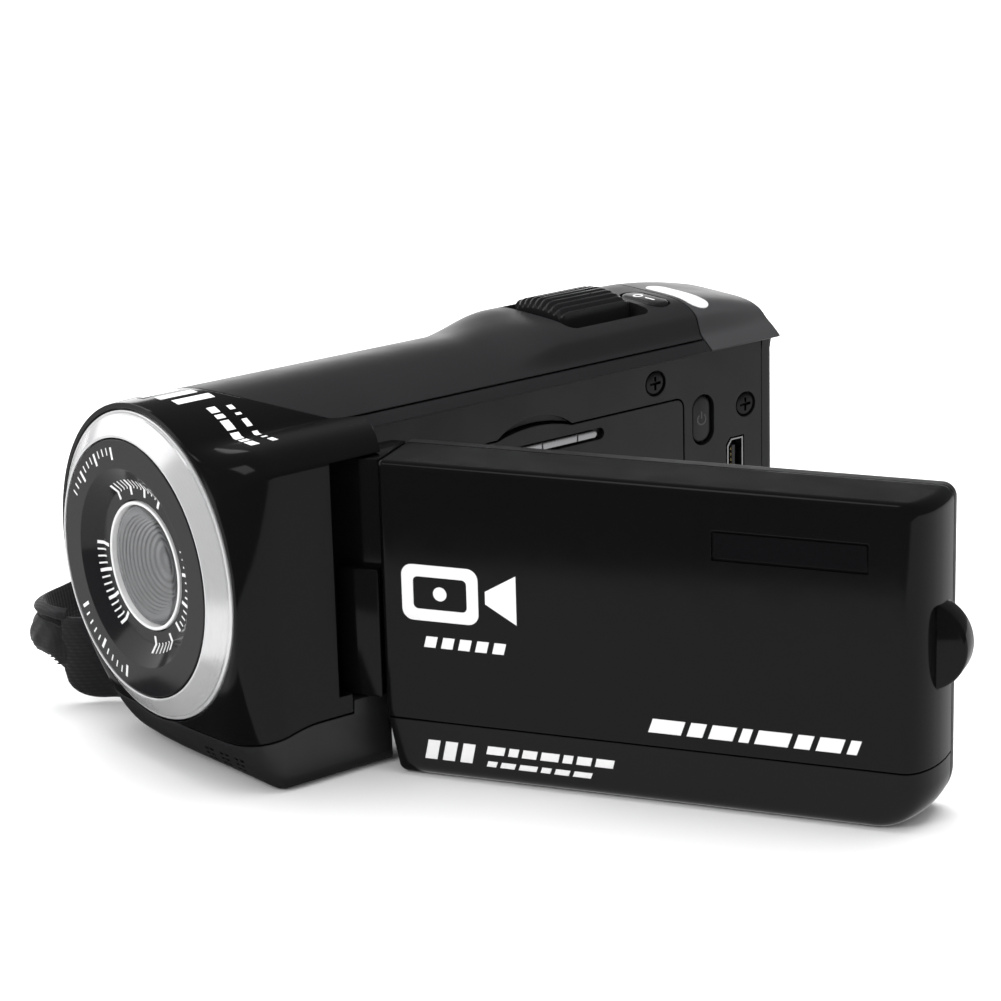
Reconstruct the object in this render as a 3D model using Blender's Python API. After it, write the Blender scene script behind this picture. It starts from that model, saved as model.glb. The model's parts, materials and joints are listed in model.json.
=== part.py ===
"""Pocket camcorder with a swing-out, tilting screen and a hand strap.

Row frame, in metres: the origin is on the flat base, midway between the front of the lens and the
rear of the body and straight below the lens axis. +X points to the screen side, +Y to the rear and
+Z up. The screen stands part way open, as the camcorder is shown at rest.

Lengths below are in millimetres and are turned into metres where a mesh is made.
"""

import math

import bmesh
import bpy
from mathutils import Vector

MM = 0.001

# Body
LENS_Z = 28.4
FRONT_Y = -54.0
LAND_Y = -51.8
REAR_Y = 52.9
BARREL_R = 23.3
SIDE_X = 24.1
SHELF_Z = 47.9
SHOULDER = (7.5, 3.1)
WALL_X = 11.0
STRIP_X = 15.2
FOOT_X = -7.6
FOOT_R = 2.3
WALL = 1.5
GAP = 0.3
SEAM_SIDE_Z = 8.95
SEAM_TOP_X = 13.3
SEAM_TOP_Z = LENS_Z + math.sqrt(BARREL_R**2 - SEAM_TOP_X**2)
SEAM_GRIP_Z = 40.05
SEAM_FOOT_Z = 6.8
CAP_Y = 39.4
CAP_REAR_Y = 53.2
LAND_R = 23.05

# Raised control platform at the rear of the top
PLATFORM_HALF_WIDTH = 14.8
PLATFORM_HEIGHT = 24.5
PLATFORM_POWER = 4.5
PLATFORM_START_Y = 2.0
PLATFORM_FULL_Y = 15.0
PLATFORM_FALL_Y = 36.0
PLATFORM_FALL = 1.9

# Lens
RING_R = 22.0
DISC_R = 18.5
CONE_FRONT_R = 14.1
CONE_REAR_R = 11.3
CONE_DEPTH = 2.1
TRIM_R = 9.2
GLASS_R = 8.5
BARREL_TUBE_R = 9.1

# Screen hinge: a vertical swing axis and a horizontal tilt axis
SWING_X = 21.0
SWING_Y = -31.0
REST_OPEN_DEG = 58.66
SWING_REST = math.radians(90.0 - REST_OPEN_DEG)
BAY_FRONT_Y = -36.6
BAY_STEP_Y = -34.4
LEDGE_Z = 11.75
PILLAR_TOP_Z = 10.75
PILLAR_REAR_Y = -27.6
LIP_Z = 45.3
SHELF_UNDERSIDE_Z = 46.2
BLOCK_BOTTOM_Z = 11.05
BLOCK_TOP_Z = 44.95
PIN_R = 1.0
SHAFT_R = 1.6
BORE_CLEARANCE = 0.12

# Screen panel, in its own directions: along it from the swing axis, outwards from that axis, and up
PANEL_START = 5.0
PANEL_END = 82.3
PANEL_OUT = 3.0
PANEL_IN = -9.6
PANEL_TOP_Z = 45.1
PANEL_BOTTOM_Z = 0.15
PANEL_SEAM_Z = 8.4
PANEL_BEZEL_SPLIT = -7.2
PANEL_END_ROUND = (4.2, 9.0)
PANEL_MID = (PANEL_OUT + PANEL_IN) / 2
TILT_Z = (PANEL_TOP_Z + PANEL_BOTTOM_Z) / 2
TAB_R = 6.3
TAB_RISE = 2.1
SCREEN_LONG = 60.4
SCREEN_HIGH = 34.4
SCREEN_CENTRE = 44.5

# Battery door, on the wall that the closed screen covers
DOOR_FRONT_Y = -1.5
DOOR_REAR_Y = 37.3
DOOR_BOTTOM_Z = 2.5
DOOR_TOP_Z = 38.5
DOOR_AXIS = (10.3, 3.5)
SCOOP_Y = 8.6
SCOOP_R = 11.2
SCOOP_Z = 29.7
TONGUE_R = 22.5
TONGUE_Z = 17.1
LATCH_Z = 35.9
LATCH_SLOT = (-0.6, 21.6)
LATCH_BAR = (2.0, 20.4)

# Fixings and smaller places on the casing: (X, Y), (Y, Z) or (X, Z), as their face has it
TRIPOD_PLACE = (1.5, -20.0)
TRIPOD_BUSH_R = 5.5
TRIPOD_HOLE_R = 3.175
SCREW_HEAD_R = 1.75
SCREW_SHANK_R = 0.9
BASE_SCREWS = ((17.5, -41.0), (-6.0, -41.0), (-6.0, 45.0), (6.5, 45.0))
POWER_PLACE = (41.05, 34.2)
WALL_SCREWS = ((31.7, 41.6), (49.7, 35.1))
USB_CENTRE = (47.5, 26.6)
RECORD_PLACE = (-5.0, 33.0)
RECORD_R = 6.0
PLAY_PLACE = (-5.0, 18.0)
PLAY_R = 3.2
LIGHT_PLACE = (4.5, 40.5)
LIGHT_R = 1.0

# Top controls
WELL_HALF_X = 9.4
WELL_FRONT_Y = 17.0
WELL_REAR_Y = 32.6
WELL_FLOOR_Z = 50.2
LEVER_HALF_X = 6.0
PHOTO_X = 3.8
PHOTO_Y = 35.8
PHOTO_TOP_Z = 53.0

# Strap
STRAP_BOTTOM_Z = 2.6
STRAP_TOP_Z = 17.4
STRAP_THICK = 2.6

COLOURS = {
    "gloss_black": ((0.012, 0.012, 0.013), 0.12, 0.0),
    "matt_black": ((0.028, 0.028, 0.03), 0.55, 0.0),
    "panel_band": ((0.02, 0.02, 0.021), 0.42, 0.0),
    "silver": ((0.78, 0.78, 0.79), 0.25, 1.0),
    "white_trim": ((0.8, 0.8, 0.8), 0.4, 0.0),
    "steel": ((0.45, 0.45, 0.46), 0.3, 1.0),
    "black_steel": ((0.03, 0.03, 0.03), 0.35, 1.0),
    "brass": ((0.6, 0.45, 0.2), 0.35, 1.0),
    "lens_glass": ((0.25, 0.25, 0.26), 0.05, 0.0),
    "screen_glass": ((0.01, 0.01, 0.012), 0.06, 0.0),
    "board": ((0.02, 0.14, 0.06), 0.5, 0.0),
    "battery_grey": ((0.16, 0.17, 0.18), 0.5, 0.0),
    "red": ((0.45, 0.02, 0.02), 0.35, 0.0),
    "webbing": ((0.012, 0.012, 0.012), 0.9, 0.0),
    "pad": ((0.018, 0.018, 0.018), 0.8, 0.0),
}


def clear_scene():
    for item in list(bpy.data.objects):
        bpy.data.objects.remove(item, do_unlink=True)


def material(name):
    """A Principled material from COLOURS, made on its first use."""
    found = bpy.data.materials.get(name)
    if found:
        return found
    colour, roughness, metallic = COLOURS[name]
    made = bpy.data.materials.new(name)
    made.use_nodes = True
    shader = made.node_tree.nodes["Principled BSDF"]
    shader.inputs["Base Color"].default_value = (*colour, 1.0)
    shader.inputs["Roughness"].default_value = roughness
    shader.inputs["Metallic"].default_value = metallic
    return made


def object_from(name, bm, look=None, origin=(0.0, 0.0, 0.0), parent=None):
    """An object whose mesh was drawn in millimetres, with its origin at the given place."""
    bmesh.ops.recalc_face_normals(bm, faces=bm.faces)
    bmesh.ops.translate(bm, verts=bm.verts, vec=-Vector(origin))
    bmesh.ops.scale(bm, verts=bm.verts, vec=(MM, MM, MM))
    mesh = bpy.data.meshes.new(name)
    bm.to_mesh(mesh)
    bm.free()
    mesh.shade_smooth()
    mesh.set_sharp_from_angle(angle=math.radians(35))
    made = bpy.data.objects.new(name, mesh)
    made.location = Vector(origin) * MM
    bpy.context.collection.objects.link(made)
    if look:
        mesh.materials.append(material(look))
    if parent:
        made.parent = parent
    return made


def empty_at(name, place, turn=0.0, parent=None):
    made = bpy.data.objects.new(name, None)
    made.location = Vector(place) * MM
    made.rotation_euler = (0.0, 0.0, turn)
    made.empty_display_size = 0.01
    bpy.context.collection.objects.link(made)
    made.parent = parent
    return made


# --- Solids in millimetres -----------------------------------------------------------------------


def loft(rings):
    """A closed solid through rings of equally many points."""
    bm = bmesh.new()
    rows = [[bm.verts.new(point) for point in ring] for ring in rings]
    count = len(rows[0])
    for first, second in zip(rows, rows[1:]):
        for i in range(count):
            j = (i + 1) % count
            bm.faces.new((first[i], first[j], second[j], second[i]))
    bm.faces.new(rows[0])
    bm.faces.new(rows[-1][::-1])
    return bm


def along(axis, flat, level):
    """A point from a flat outline and its level along X, Y or Z."""
    a, b = flat
    return {"X": (level, a, b), "Y": (a, level, b), "Z": (a, b, level)}[axis]


def prism(axis, outline, low, high):
    return loft([[along(axis, p, level) for p in outline] for level in (low, high)])


def box(low, high):
    (x0, y0, z0), (x1, y1, z1) = low, high
    return prism("Z", [(x0, y0), (x1, y0), (x1, y1), (x0, y1)], z0, z1)


def arc(centre, radius, start, end, steps):
    """Points on an arc, angles in degrees, both ends included."""
    cx, cy = centre
    angles = [math.radians(start + (end - start) * i / steps) for i in range(steps + 1)]
    return [(cx + radius * math.cos(a), cy + radius * math.sin(a)) for a in angles]


def circle(centre, radius, steps):
    return arc(centre, radius, 0, 360 - 360 / steps, steps - 1)


def rounded_rectangle(low, high, radii, steps=4):
    """Corner radii run from the low-low corner, anticlockwise."""
    (x0, y0), (x1, y1) = low, high
    corners = ((x0, y0, 1, 1, 180), (x1, y0, -1, 1, 270), (x1, y1, -1, -1, 0), (x0, y1, 1, -1, 90))
    points = []
    for (x, y, sx, sy, start), radius in zip(corners, radii):
        points += arc((x + sx * radius, y + sy * radius), radius, start, start + 90, steps)
    return points


def stadium(centre, long_half, short_half, steps=8):
    """A slot outline, long along its first direction."""
    cx, cy = centre
    reach = long_half - short_half
    right = arc((cx + reach, cy), short_half, -90, 90, steps)
    return right + arc((cx - reach, cy), short_half, 90, 270, steps)


def turned(axis, centre, profile, steps=48):
    """A profile of (radius, level) points turned about an axis; a radius of 0 ends on the axis."""
    bm = bmesh.new()
    rows = []
    for radius, level in profile:
        if radius == 0:
            rows.append([bm.verts.new(along(axis, centre, level))])
        else:
            rows.append([bm.verts.new(along(axis, p, level)) for p in circle(centre, radius, steps)])
    closed = profile[0][0] != 0
    pairs = list(zip(rows, rows[1:] + rows[:1])) if closed else list(zip(rows, rows[1:]))
    for first, second in pairs:
        for i in range(steps):
            j = (i + 1) % steps
            if len(first) == 1:
                bm.faces.new((first[0], second[i], second[j]))
            elif len(second) == 1:
                bm.faces.new((first[i], second[0], first[j]))
            else:
                bm.faces.new((first[i], second[i], second[j], first[j]))
    return bm


def rod(axis, centre, radius, low, high, steps=24):
    return turned(axis, centre, [(0, low), (radius, low), (radius, high), (0, high)], steps)


def inset(points, distance):
    """The outline moved inwards; its points run anticlockwise."""
    count = len(points)
    moved = []
    for i in range(count):
        before, here, after = (Vector(points[k % count]) for k in (i - 1, i, i + 1))
        first, second = (here - before).normalized(), (after - here).normalized()
        normal = Vector((-first.y - second.y, first.x + second.x)).normalized()
        shrink = max(normal.dot(Vector((-first.y, first.x))), 0.5)
        moved.append(tuple(here + normal * distance / shrink))
    return moved


def helper_object(bm):
    """A temporary object in millimetres, for a Boolean."""
    bmesh.ops.recalc_face_normals(bm, faces=bm.faces)
    mesh = bpy.data.meshes.new("helper")
    bm.to_mesh(mesh)
    bm.free()
    made = bpy.data.objects.new("helper", mesh)
    bpy.context.collection.objects.link(made)
    return made


def boolean(solid, operation, other):
    """One Boolean of two closed solids, as a new solid."""
    made, tool = helper_object(solid), helper_object(other)
    step = made.modifiers.new("step", "BOOLEAN")
    step.operation = operation
    step.solver = "EXACT"
    step.object = tool
    result = bmesh.new()
    result.from_object(made, bpy.context.evaluated_depsgraph_get())
    bmesh.ops.remove_doubles(result, verts=result.verts, dist=0.002)
    bpy.data.objects.remove(tool, do_unlink=True)
    bpy.data.objects.remove(made, do_unlink=True)
    return result


def cut(solid, *others):
    for other in others:
        solid = boolean(solid, "DIFFERENCE", other)
    return solid


def union(solid, other):
    return boolean(solid, "UNION", other)


def common(solid, other):
    return boolean(solid, "INTERSECT", other)


# --- Body sections: outlines across the lens axis, at one place along it ---------------------------


def smooth(value):
    t = min(max(value, 0.0), 1.0)
    return t * t * (3 - 2 * t)


def grip_curve(steps=12):
    """From the flat foot round the strap side up to the height of the lens axis."""
    points = []
    for i in range(steps + 1):
        a = math.radians(90 * i / steps)
        x = FOOT_X - (BARREL_R + FOOT_X) * math.sin(a)
        points.append((x, LENS_Z - LENS_Z * math.cos(a)))
    return points


def shoulder(steps):
    """The broad rounding between the shelf and the side."""
    wide, high = SHOULDER
    centre_x, centre_z = SIDE_X - wide, SHELF_Z - high
    angles = [math.radians(90 * i / steps) for i in range(steps + 1)]
    return [(centre_x + wide * math.cos(a), centre_z + high * math.sin(a)) for a in angles]


def front_section():
    """The lens housing and the pillar: round on the strap side, square with a shelf on the other."""
    arc_end = math.degrees(math.acos((SHELF_Z - LENS_Z) / BARREL_R))
    shelf_in = math.sqrt(BARREL_R**2 - (SHELF_Z - LENS_Z) ** 2)
    points = arc((SIDE_X - FOOT_R, FOOT_R), FOOT_R, -90, 0, 3)
    points += [(SIDE_X, 16.0), (SIDE_X, 30.0)]
    points += shoulder(7)
    points += [((shelf_in + SIDE_X - SHOULDER[0]) / 2, SHELF_Z)]
    points += arc((0, LENS_Z), BARREL_R, 90 - arc_end, 180, 20)
    points += grip_curve()[::-1][1:]
    points += [(2.5, 0.0), (12.5, 0.0)]
    return points


def housing_growth(y):
    """How far the round front has spread to the full section, from 0 to 1."""
    t = min(max((y - LAND_Y) / 6.6, 0.0), 1.0)
    return (1 - (1 - t) ** 1.6) ** (1 / 1.6)


def front_ring(y, distance=0.0):
    """One section of the housing, moved inwards by a distance."""
    ring = []
    for x, z in inset(front_section(), distance):
        reach = math.hypot(x, z - LENS_Z)
        land = LAND_R - distance
        scale = (land + (reach - land) * housing_growth(y)) / reach
        ring.append((x * scale, y, LENS_Z + (z - LENS_Z) * scale))
    return ring


def platform_height(y):
    return PLATFORM_HEIGHT - PLATFORM_FALL * (max(y - PLATFORM_FALL_Y, 0) / 16) ** 2


def top_radius(angle, y):
    """Distance of the top from the lens axis, at an angle in degrees from +X."""
    rise = smooth((y - PLATFORM_START_Y) / (PLATFORM_FULL_Y - PLATFORM_START_Y))
    a = math.radians(angle)
    across = abs(math.cos(a) / PLATFORM_HALF_WIDTH) ** PLATFORM_POWER
    upright = abs(math.sin(a) / platform_height(y)) ** PLATFORM_POWER
    platform = (across + upright) ** (-1 / PLATFORM_POWER)
    share = smooth((angle - 55.5) / 8) * (1 - smooth((angle - 128) / 18))
    return BARREL_R + rise * share * (platform - BARREL_R)


def rear_section(y):
    """Behind the pillar: a flat wall for the closed screen, under an overhanging strip."""
    strip_angle = math.degrees(math.acos(STRIP_X / BARREL_R))
    points = [(WALL_X, 0.0), (WALL_X, 20.0), (WALL_X, 44.9)]
    points += [(WALL_X + 0.3, 45.4), (WALL_X + 1.2, 45.7), (WALL_X + 3.3, 45.8)]
    points += top_curve(y, (strip_angle, 52.0, 55.2, 57, 59) + TOP_ANGLES)
    return points + grip_curve()[::-1][1:] + [(2.5, 0.0)]


TOP_ANGLES = (61, 63, 65, 68, 72, 77, 83, 90, 97, 104, 110, 115, 119, 123, 127, 132, 137, 143)
TOP_ANGLES += (150, 157, 164, 172, 180)


def top_curve(y, angles, distance=0.0):
    points = []
    for angle in angles:
        reach = top_radius(angle, y) - distance
        a = math.radians(angle)
        points.append((reach * math.cos(a), LENS_Z + reach * math.sin(a)))
    return points


def rear_ring(y):
    return [(x, y, z) for x, z in rear_section(y)]


def hollow_ring(y, thick=WALL):
    """One section of the space inside the rear casings, whose walls are this thick."""
    points = [(WALL_X - thick, thick), (WALL_X - thick, 20.0), (WALL_X - thick, 43.0)]
    points += top_curve(y, TOP_ANGLES, thick)
    points += [p for p in inset(rear_section(y), thick) if p[0] < FOOT_X and p[1] < LENS_Z - 0.5]
    return [(x, y, z) for x, z in points]


REAR_STATIONS = (-43.0, 1.0, 4.0, 7.0, 10.0, 13.0, 16.0, 36.0, 40.5, 44.5, 48.5, REAR_Y)


def rear_solid(rear_y=REAR_Y):
    return loft([rear_ring(y) for y in REAR_STATIONS[:-1] + (rear_y,)])


def rear_hollow(rear_y=REAR_Y + 1.0):
    stations = (-44.0,) + REAR_STATIONS[1:-1] + (rear_y,)
    return loft([hollow_ring(y) for y in stations])


def front_solid(rear_y=-24.0):
    steps = 7
    stations = [LAND_Y + 6.6 * (i / steps) ** 1.3 for i in range(steps + 1)] + [rear_y]
    return loft([front_ring(y) for y in stations])


def front_hollow():
    stations = (-49.0, -47.4, -45.2, -23.0)
    return loft([front_ring(y, WALL) for y in stations])


def housing_edge(offset=0.0):
    """The rear edge of the lens housing in plan, from the strap side to the shelf's corner."""
    points = [(-30.0, -42.0), (-12.0, -42.0), (-6.0, -41.8), (-1.0, -41.0), (3.0, -39.6)]
    points += [(6.5, -37.2), (9.3, -34.2), (11.6, -30.9), (13.6, -27.8), (15.2, -26.0)]
    points += [(17.0, -25.4), (SIDE_X + 0.5, -27.1)]
    return [(x, y + offset) for x, y in points]


def behind_edge(low, high, offset=0.0):
    """A prism over everything behind the housing's rear edge."""
    points = housing_edge(offset)
    return prism("Z", points + [(40.0, points[-1][1]), (40.0, 60.0), (-30.0, 60.0)], low, high)


def ahead_of_edge(low, high, offset=0.0):
    points = housing_edge(offset)
    return prism("Z", points + [(40.0, points[-1][1]), (40.0, -60.0), (-30.0, -60.0)], low, high)


def pillar_clearance(low, high, inner_x=9.2, rear_y=-20.0):
    """Everything behind the pillar that carries the screen's hinge."""
    points = [(inner_x, PILLAR_REAR_Y), (22.9, PILLAR_REAR_Y), (23.8, PILLAR_REAR_Y - 0.3)]
    points += [(24.3, PILLAR_REAR_Y - 1.0), (30.0, PILLAR_REAR_Y - 1.0), (30.0, rear_y)]
    return prism("Z", points + [(inner_x, rear_y)], low, high)


# --- Casings --------------------------------------------------------------------------------------


def front_cavity():
    """The space behind the lens, stopping at the wall in front of the hinge bay."""
    ahead = box((-40, -60, -5), (40, BAY_FRONT_Y - WALL, 80))
    return common(front_hollow(), ahead)


def front_housing():
    seam = [(-60, SEAM_FOOT_Z + 0.15), (-52, SEAM_FOOT_Z + 0.15), (-40, SEAM_SIDE_Z + 0.15)]
    seam += [(-20, SEAM_SIDE_Z + 0.15), (-20, 80), (-60, 80)]
    shell = common(front_solid(), prism("X", seam, -40, 40))
    keep_x, keep_y = WALL_X - WALL, BAY_FRONT_Y - WALL
    roof = [(-19.0, 30.0), (keep_x, 30.0), (keep_x, SHELF_Z - WALL - 0.9)]
    roof += arc((0, LENS_Z), BARREL_R - WALL, 60, 172, 12)
    shell = cut(
        shell,
        front_cavity(),
        box((-22.5, keep_y - 1.0, 3.0), (keep_x, -23.0, 44.0)),
        prism("Y", roof, keep_y - 1.0, -23.0),
        behind_edge(-5, 80),
        box((9.2, BAY_FRONT_Y, LEDGE_Z), (40, 0, LIP_Z)),
        box((9.2, BAY_STEP_Y, -5), (40, 0, LIP_Z)),
        pillar_clearance(-5, SHELF_UNDERSIDE_Z),
        rod("Y", (0, LENS_Z), DISC_R + 0.4, -60, -45, 48),
        rod("Y", (0, LENS_Z), RING_R + GAP, -60, LAND_Y + 1.2, 48),
        rod("Z", (SWING_X, SWING_Y), PIN_R + BORE_CLEARANCE, 40, 47.0),
    )
    object_from("front_housing", shell, "gloss_black")


def base_cover():
    seam_front, seam_side = SEAM_FOOT_Z - 0.15, SEAM_SIDE_Z - 0.15
    side = [(-60, -5), (70, -5), (70, seam_front), (PILLAR_REAR_Y + 0.2, seam_front)]
    side += [(PILLAR_REAR_Y + 0.1, PILLAR_TOP_Z), (BAY_STEP_Y + 0.3, PILLAR_TOP_Z)]
    side += [(BAY_STEP_Y + 0.2, seam_side), (-40, seam_side), (-52, seam_front), (-60, seam_front)]
    shell = common(front_solid(REAR_Y), prism("X", side, -40, 40))
    openings = [
        pillar_clearance(-5, 80, WALL_X, 60.0),
        box((-40, -41.9, seam_front), (9.0, 60, 80)),
        front_cavity(),
        grip_tray(BAY_FRONT_Y - WALL - 1.0, REAR_Y + 1.0),
        box((WALL_X - WALL - 0.4, PILLAR_REAR_Y, WALL), (14, 60, 20)),
        rod("Y", (0, LENS_Z), RING_R + GAP + 0.1, -60, -48.3, 48),
        rod("Z", (SWING_X, SWING_Y), PIN_R + BORE_CLEARANCE, PILLAR_TOP_Z - 3.2, 20),
        rod("Z", TRIPOD_PLACE, TRIPOD_BUSH_R + GAP, -5, 5, 24),
    ]
    for place in BASE_SCREWS:
        openings.append(rod("Z", place, SCREW_HEAD_R + 0.25, -1, 1.0, 16))
        openings.append(rod("Z", place, SCREW_SHANK_R + 0.2, -1, 5, 12))
    object_from("base_cover", cut(shell, *openings, *microphone_slots()), "matt_black")


def grip_tray(low, high):
    outline = [(WALL_X - WALL, WALL), (WALL_X - WALL, 20.0), (-12.0, 20.0)]
    outline += [p for p in inset(rear_section(-30.0), WALL) if p[0] < FOOT_X and p[1] < 20.0]
    return prism("Y", outline + [(FOOT_X, WALL)], low, high)


def microphone_slots():
    """Three groups of three short slots through the sloping front of the base."""
    slots = []
    for group in range(3):
        for row in range(3):
            x = 10.1 + 3.25 * group + 0.5 * row
            z = 2.37 + 0.97 * row
            slots.append(box((x, -54, z - 0.24), (x + 1.9, -43.3, z + 0.24)))
    return slots


def lever_well():
    return rounded_rectangle((-WELL_HALF_X, WELL_FRONT_Y), (WELL_HALF_X, WELL_REAR_Y), (1.5,) * 4, 3)


def top_cover():
    region = [(40, SEAM_TOP_Z + 0.1), (40, 80), (-40, 80), (-40, SEAM_GRIP_Z + 0.15)]
    region += [(-5, SEAM_GRIP_Z + 0.15), (6, SEAM_TOP_Z + 0.1)]
    shell = common(rear_solid(), prism("Y", region, -60, CAP_Y - 0.15))
    tray = box((-WELL_HALF_X - 1.2, WELL_FRONT_Y - 1.2, WELL_FLOOR_Z - 1.2),
               (WELL_HALF_X + 1.2, WELL_REAR_Y + 1.2, 60))
    shell = cut(
        shell,
        cut(rear_hollow(), tray),
        prism("Z", lever_well(), WELL_FLOOR_Z, 60),
        ahead_of_edge(-5, 80, GAP),
        prism("Z", stadium((PHOTO_X, PHOTO_Y), 4.8, 2.2), 40, 60),
        box((-4.6, 22.4, 40), (4.6, 27.6, 60)),
    )
    object_from("top_cover", shell, "matt_black")


def rear_top_cap():
    """The rear of the top, closed at its end over the rear cover."""
    region = [(40, 45.9), (40, 80), (-40, 80), (-40, SEAM_GRIP_Z + 0.15)]
    region += [(-5, SEAM_GRIP_Z + 0.15), (6, 45.9)]
    shell = common(rear_solid(CAP_REAR_Y), prism("Y", region, CAP_Y + 0.15, 60))
    object_from("rear_top_cap", cut(shell, rear_hollow(CAP_REAR_Y - WALL)), "matt_black")


def scoop(radius, centre_z, low):
    """An arched segment above a level, for the finger notch over the battery door."""
    outline = [p for p in circle((SCOOP_Y, centre_z), radius, 60) if p[1] > low + 0.1]
    half = math.sqrt(radius**2 - (low - centre_z) ** 2)
    start = (SCOOP_Y + half, low)
    return [start] + sorted(outline, key=lambda p: -p[0]) + [(SCOOP_Y - half, low)]


def door_outline(gap=0.0):
    low = (DOOR_FRONT_Y + gap, DOOR_BOTTOM_Z + gap)
    high = (DOOR_REAR_Y - gap, DOOR_TOP_Z - gap)
    return rounded_rectangle(low, high, (0.3, 0.3, 1.6 - gap, 1.6 - gap))


def left_side_cover():
    """The wall under the closed screen, with the strip that overhangs it."""
    wall = [(BAY_FRONT_Y + GAP, LEDGE_Z + GAP), (BAY_STEP_Y + GAP, LEDGE_Z + GAP)]
    wall += [(BAY_STEP_Y + GAP, PILLAR_TOP_Z + GAP), (PILLAR_REAR_Y + GAP, PILLAR_TOP_Z + GAP)]
    wall += [(PILLAR_REAR_Y + GAP, WALL + 0.35), (REAR_Y, WALL + 0.35), (REAR_Y, 45.6)]
    wall += [(CAP_Y - 0.15, 45.6), (CAP_Y - 0.15, SEAM_TOP_Z - 0.15), (-24.9, SEAM_TOP_Z - 0.15)]
    wall += [(-24.9, LIP_Z - GAP), (BAY_FRONT_Y + GAP, LIP_Z - GAP)]
    shell = common(rear_solid(), prism("X", wall, WALL_X - WALL - 0.1, 40))
    openings = [
        rear_hollow(),
        prism("X", door_outline(), 5, 20),
        prism("X", scoop(TONGUE_R, TONGUE_Z, 37.0), 5, 20),
        prism("X", scoop(SCOOP_R, SCOOP_Z, 37.5), WALL_X - 0.9, 20),
        rod("Y", DOOR_AXIS, 0.47, DOOR_FRONT_Y - 1.2, DOOR_REAR_Y + 1.2, 12),
        prism("X", stadium_upright(POWER_PLACE, 4.0, 2.2), 5, 20),
        prism("X", usb_outline(0.25), 5, 20),
    ]
    for place in WALL_SCREWS:
        openings.append(rod("X", place, SCREW_HEAD_R + 0.25, WALL_X - 0.85, 20, 20))
        openings.append(rod("X", place, SCREW_SHANK_R + 0.2, 5, 20, 12))
    object_from("left_side_cover", cut(shell, *openings), "matt_black")


def stadium_upright(centre, long_half, short_half):
    return [(centre[0] - b, centre[1] + a) for a, b in stadium((0, 0), long_half, short_half)]


def usb_outline(grow=0.0):
    """The small socket's mouth: a rectangle with its two front corners cut."""
    cy, cz = USB_CENTRE
    wide, high, step = 1.6 + grow, 3.5 + grow, 1.0
    return [(cy - wide, cz - high + step), (cy - wide + 0.8, cz - high), (cy + wide, cz - high),
            (cy + wide, cz + high), (cy - wide + 0.8, cz + high), (cy - wide, cz + high - step)]


def right_side_cover():
    region = [(-1, SEAM_FOOT_Z + 0.15), (-1, SEAM_GRIP_Z - 0.15), (-40, SEAM_GRIP_Z - 0.15)]
    region += [(-40, SEAM_FOOT_Z + 0.15)]
    shell = common(rear_solid(), prism("Y", region, -42.0 + GAP, REAR_Y))
    object_from("right_side_cover", cut(shell, rear_hollow()), "matt_black")


def rear_cover():
    """The back: a plate a little proud of the casing, with its edges rounded."""
    rings = []
    for y, shrink in ((REAR_Y + GAP, 0.2), (REAR_Y + 1.8, 0.2), (REAR_Y + 2.4, 0.6), (REAR_Y + 2.7, 1.5)):
        rings.append([(x, y, z) for x, _, z in hollow_ring(REAR_Y, shrink)])
    region = [(40, -5), (40, 45.6), (6.1, 45.6), (-4.9, SEAM_GRIP_Z - 0.15), (-40, SEAM_GRIP_Z - 0.15)]
    plate = cut(
        common(loft(rings), prism("Y", region + [(-40, -5)], 50, 60)),
        rod("Y", RECORD_PLACE, RECORD_R + GAP, 50, 60, 32),
        rod("Y", PLAY_PLACE, PLAY_R + GAP, 50, 60, 20),
        rod("Y", LIGHT_PLACE, LIGHT_R + 0.2, 50, 60, 12),
    )
    object_from("rear_cover", plate, "matt_black")


# --- Lens -----------------------------------------------------------------------------------------


def lens():
    centre = (0, LENS_Z)
    ring = [(RING_R, LAND_Y + 0.9), (RING_R, LAND_Y), (RING_R - 0.25, LAND_Y - 0.25)]
    ring += [(DISC_R + 0.2, FRONT_Y), (DISC_R, FRONT_Y), (DISC_R, LAND_Y + 0.9)]
    object_from("lens_bezel_ring", turned("Y", centre, ring, 64), "silver")
    floor_y = FRONT_Y + CONE_DEPTH
    disc = [(DISC_R - 0.2, -50.2), (DISC_R - 0.2, FRONT_Y), (CONE_FRONT_R, FRONT_Y)]
    disc += [(CONE_REAR_R, floor_y), (TRIM_R + 0.2, floor_y), (TRIM_R + 0.2, -50.2)]
    object_from("lens_face_disc", turned("Y", centre, disc, 64), "gloss_black")
    trim = [(TRIM_R, -50.2), (TRIM_R, floor_y - 0.3), (GLASS_R + 0.2, floor_y - 0.3)]
    trim += [(GLASS_R + 0.2, -50.2)]
    object_from("lens_trim_ring", turned("Y", centre, trim, 48), "white_trim")
    dome = [(GLASS_R * math.sin(a), floor_y + 0.5 - 0.9 * math.cos(a)) for a in (0.0, 0.5, 1.0, 1.5707)]
    dome[0] = (0, dome[0][1])
    glass = dome + [(GLASS_R, -50.4), (0, -50.4)]
    object_from("lens_front_glass", turned("Y", centre, glass, 48), "lens_glass")
    tube = [(DISC_R - 0.6, -49.9), (DISC_R - 0.6, -48.9), (BARREL_TUBE_R, -48.9)]
    tube += [(BARREL_TUBE_R, -30.0), (7.6, -30.0), (7.6, -49.9)]
    object_from("lens_barrel", turned("Y", centre, tube, 32), "matt_black")
    object_from("image_sensor", box((-3.4, -29.4, LENS_Z - 2.9), (3.4, -28.3, LENS_Z + 2.9)), "battery_grey")
    sensor_board = box((-8.5, -28.0, LENS_Z - 8.5), (8.5, -26.8, LENS_Z + 8.5))
    object_from("sensor_board", sensor_board, "board")


# --- Electronics ----------------------------------------------------------------------------------


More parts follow.
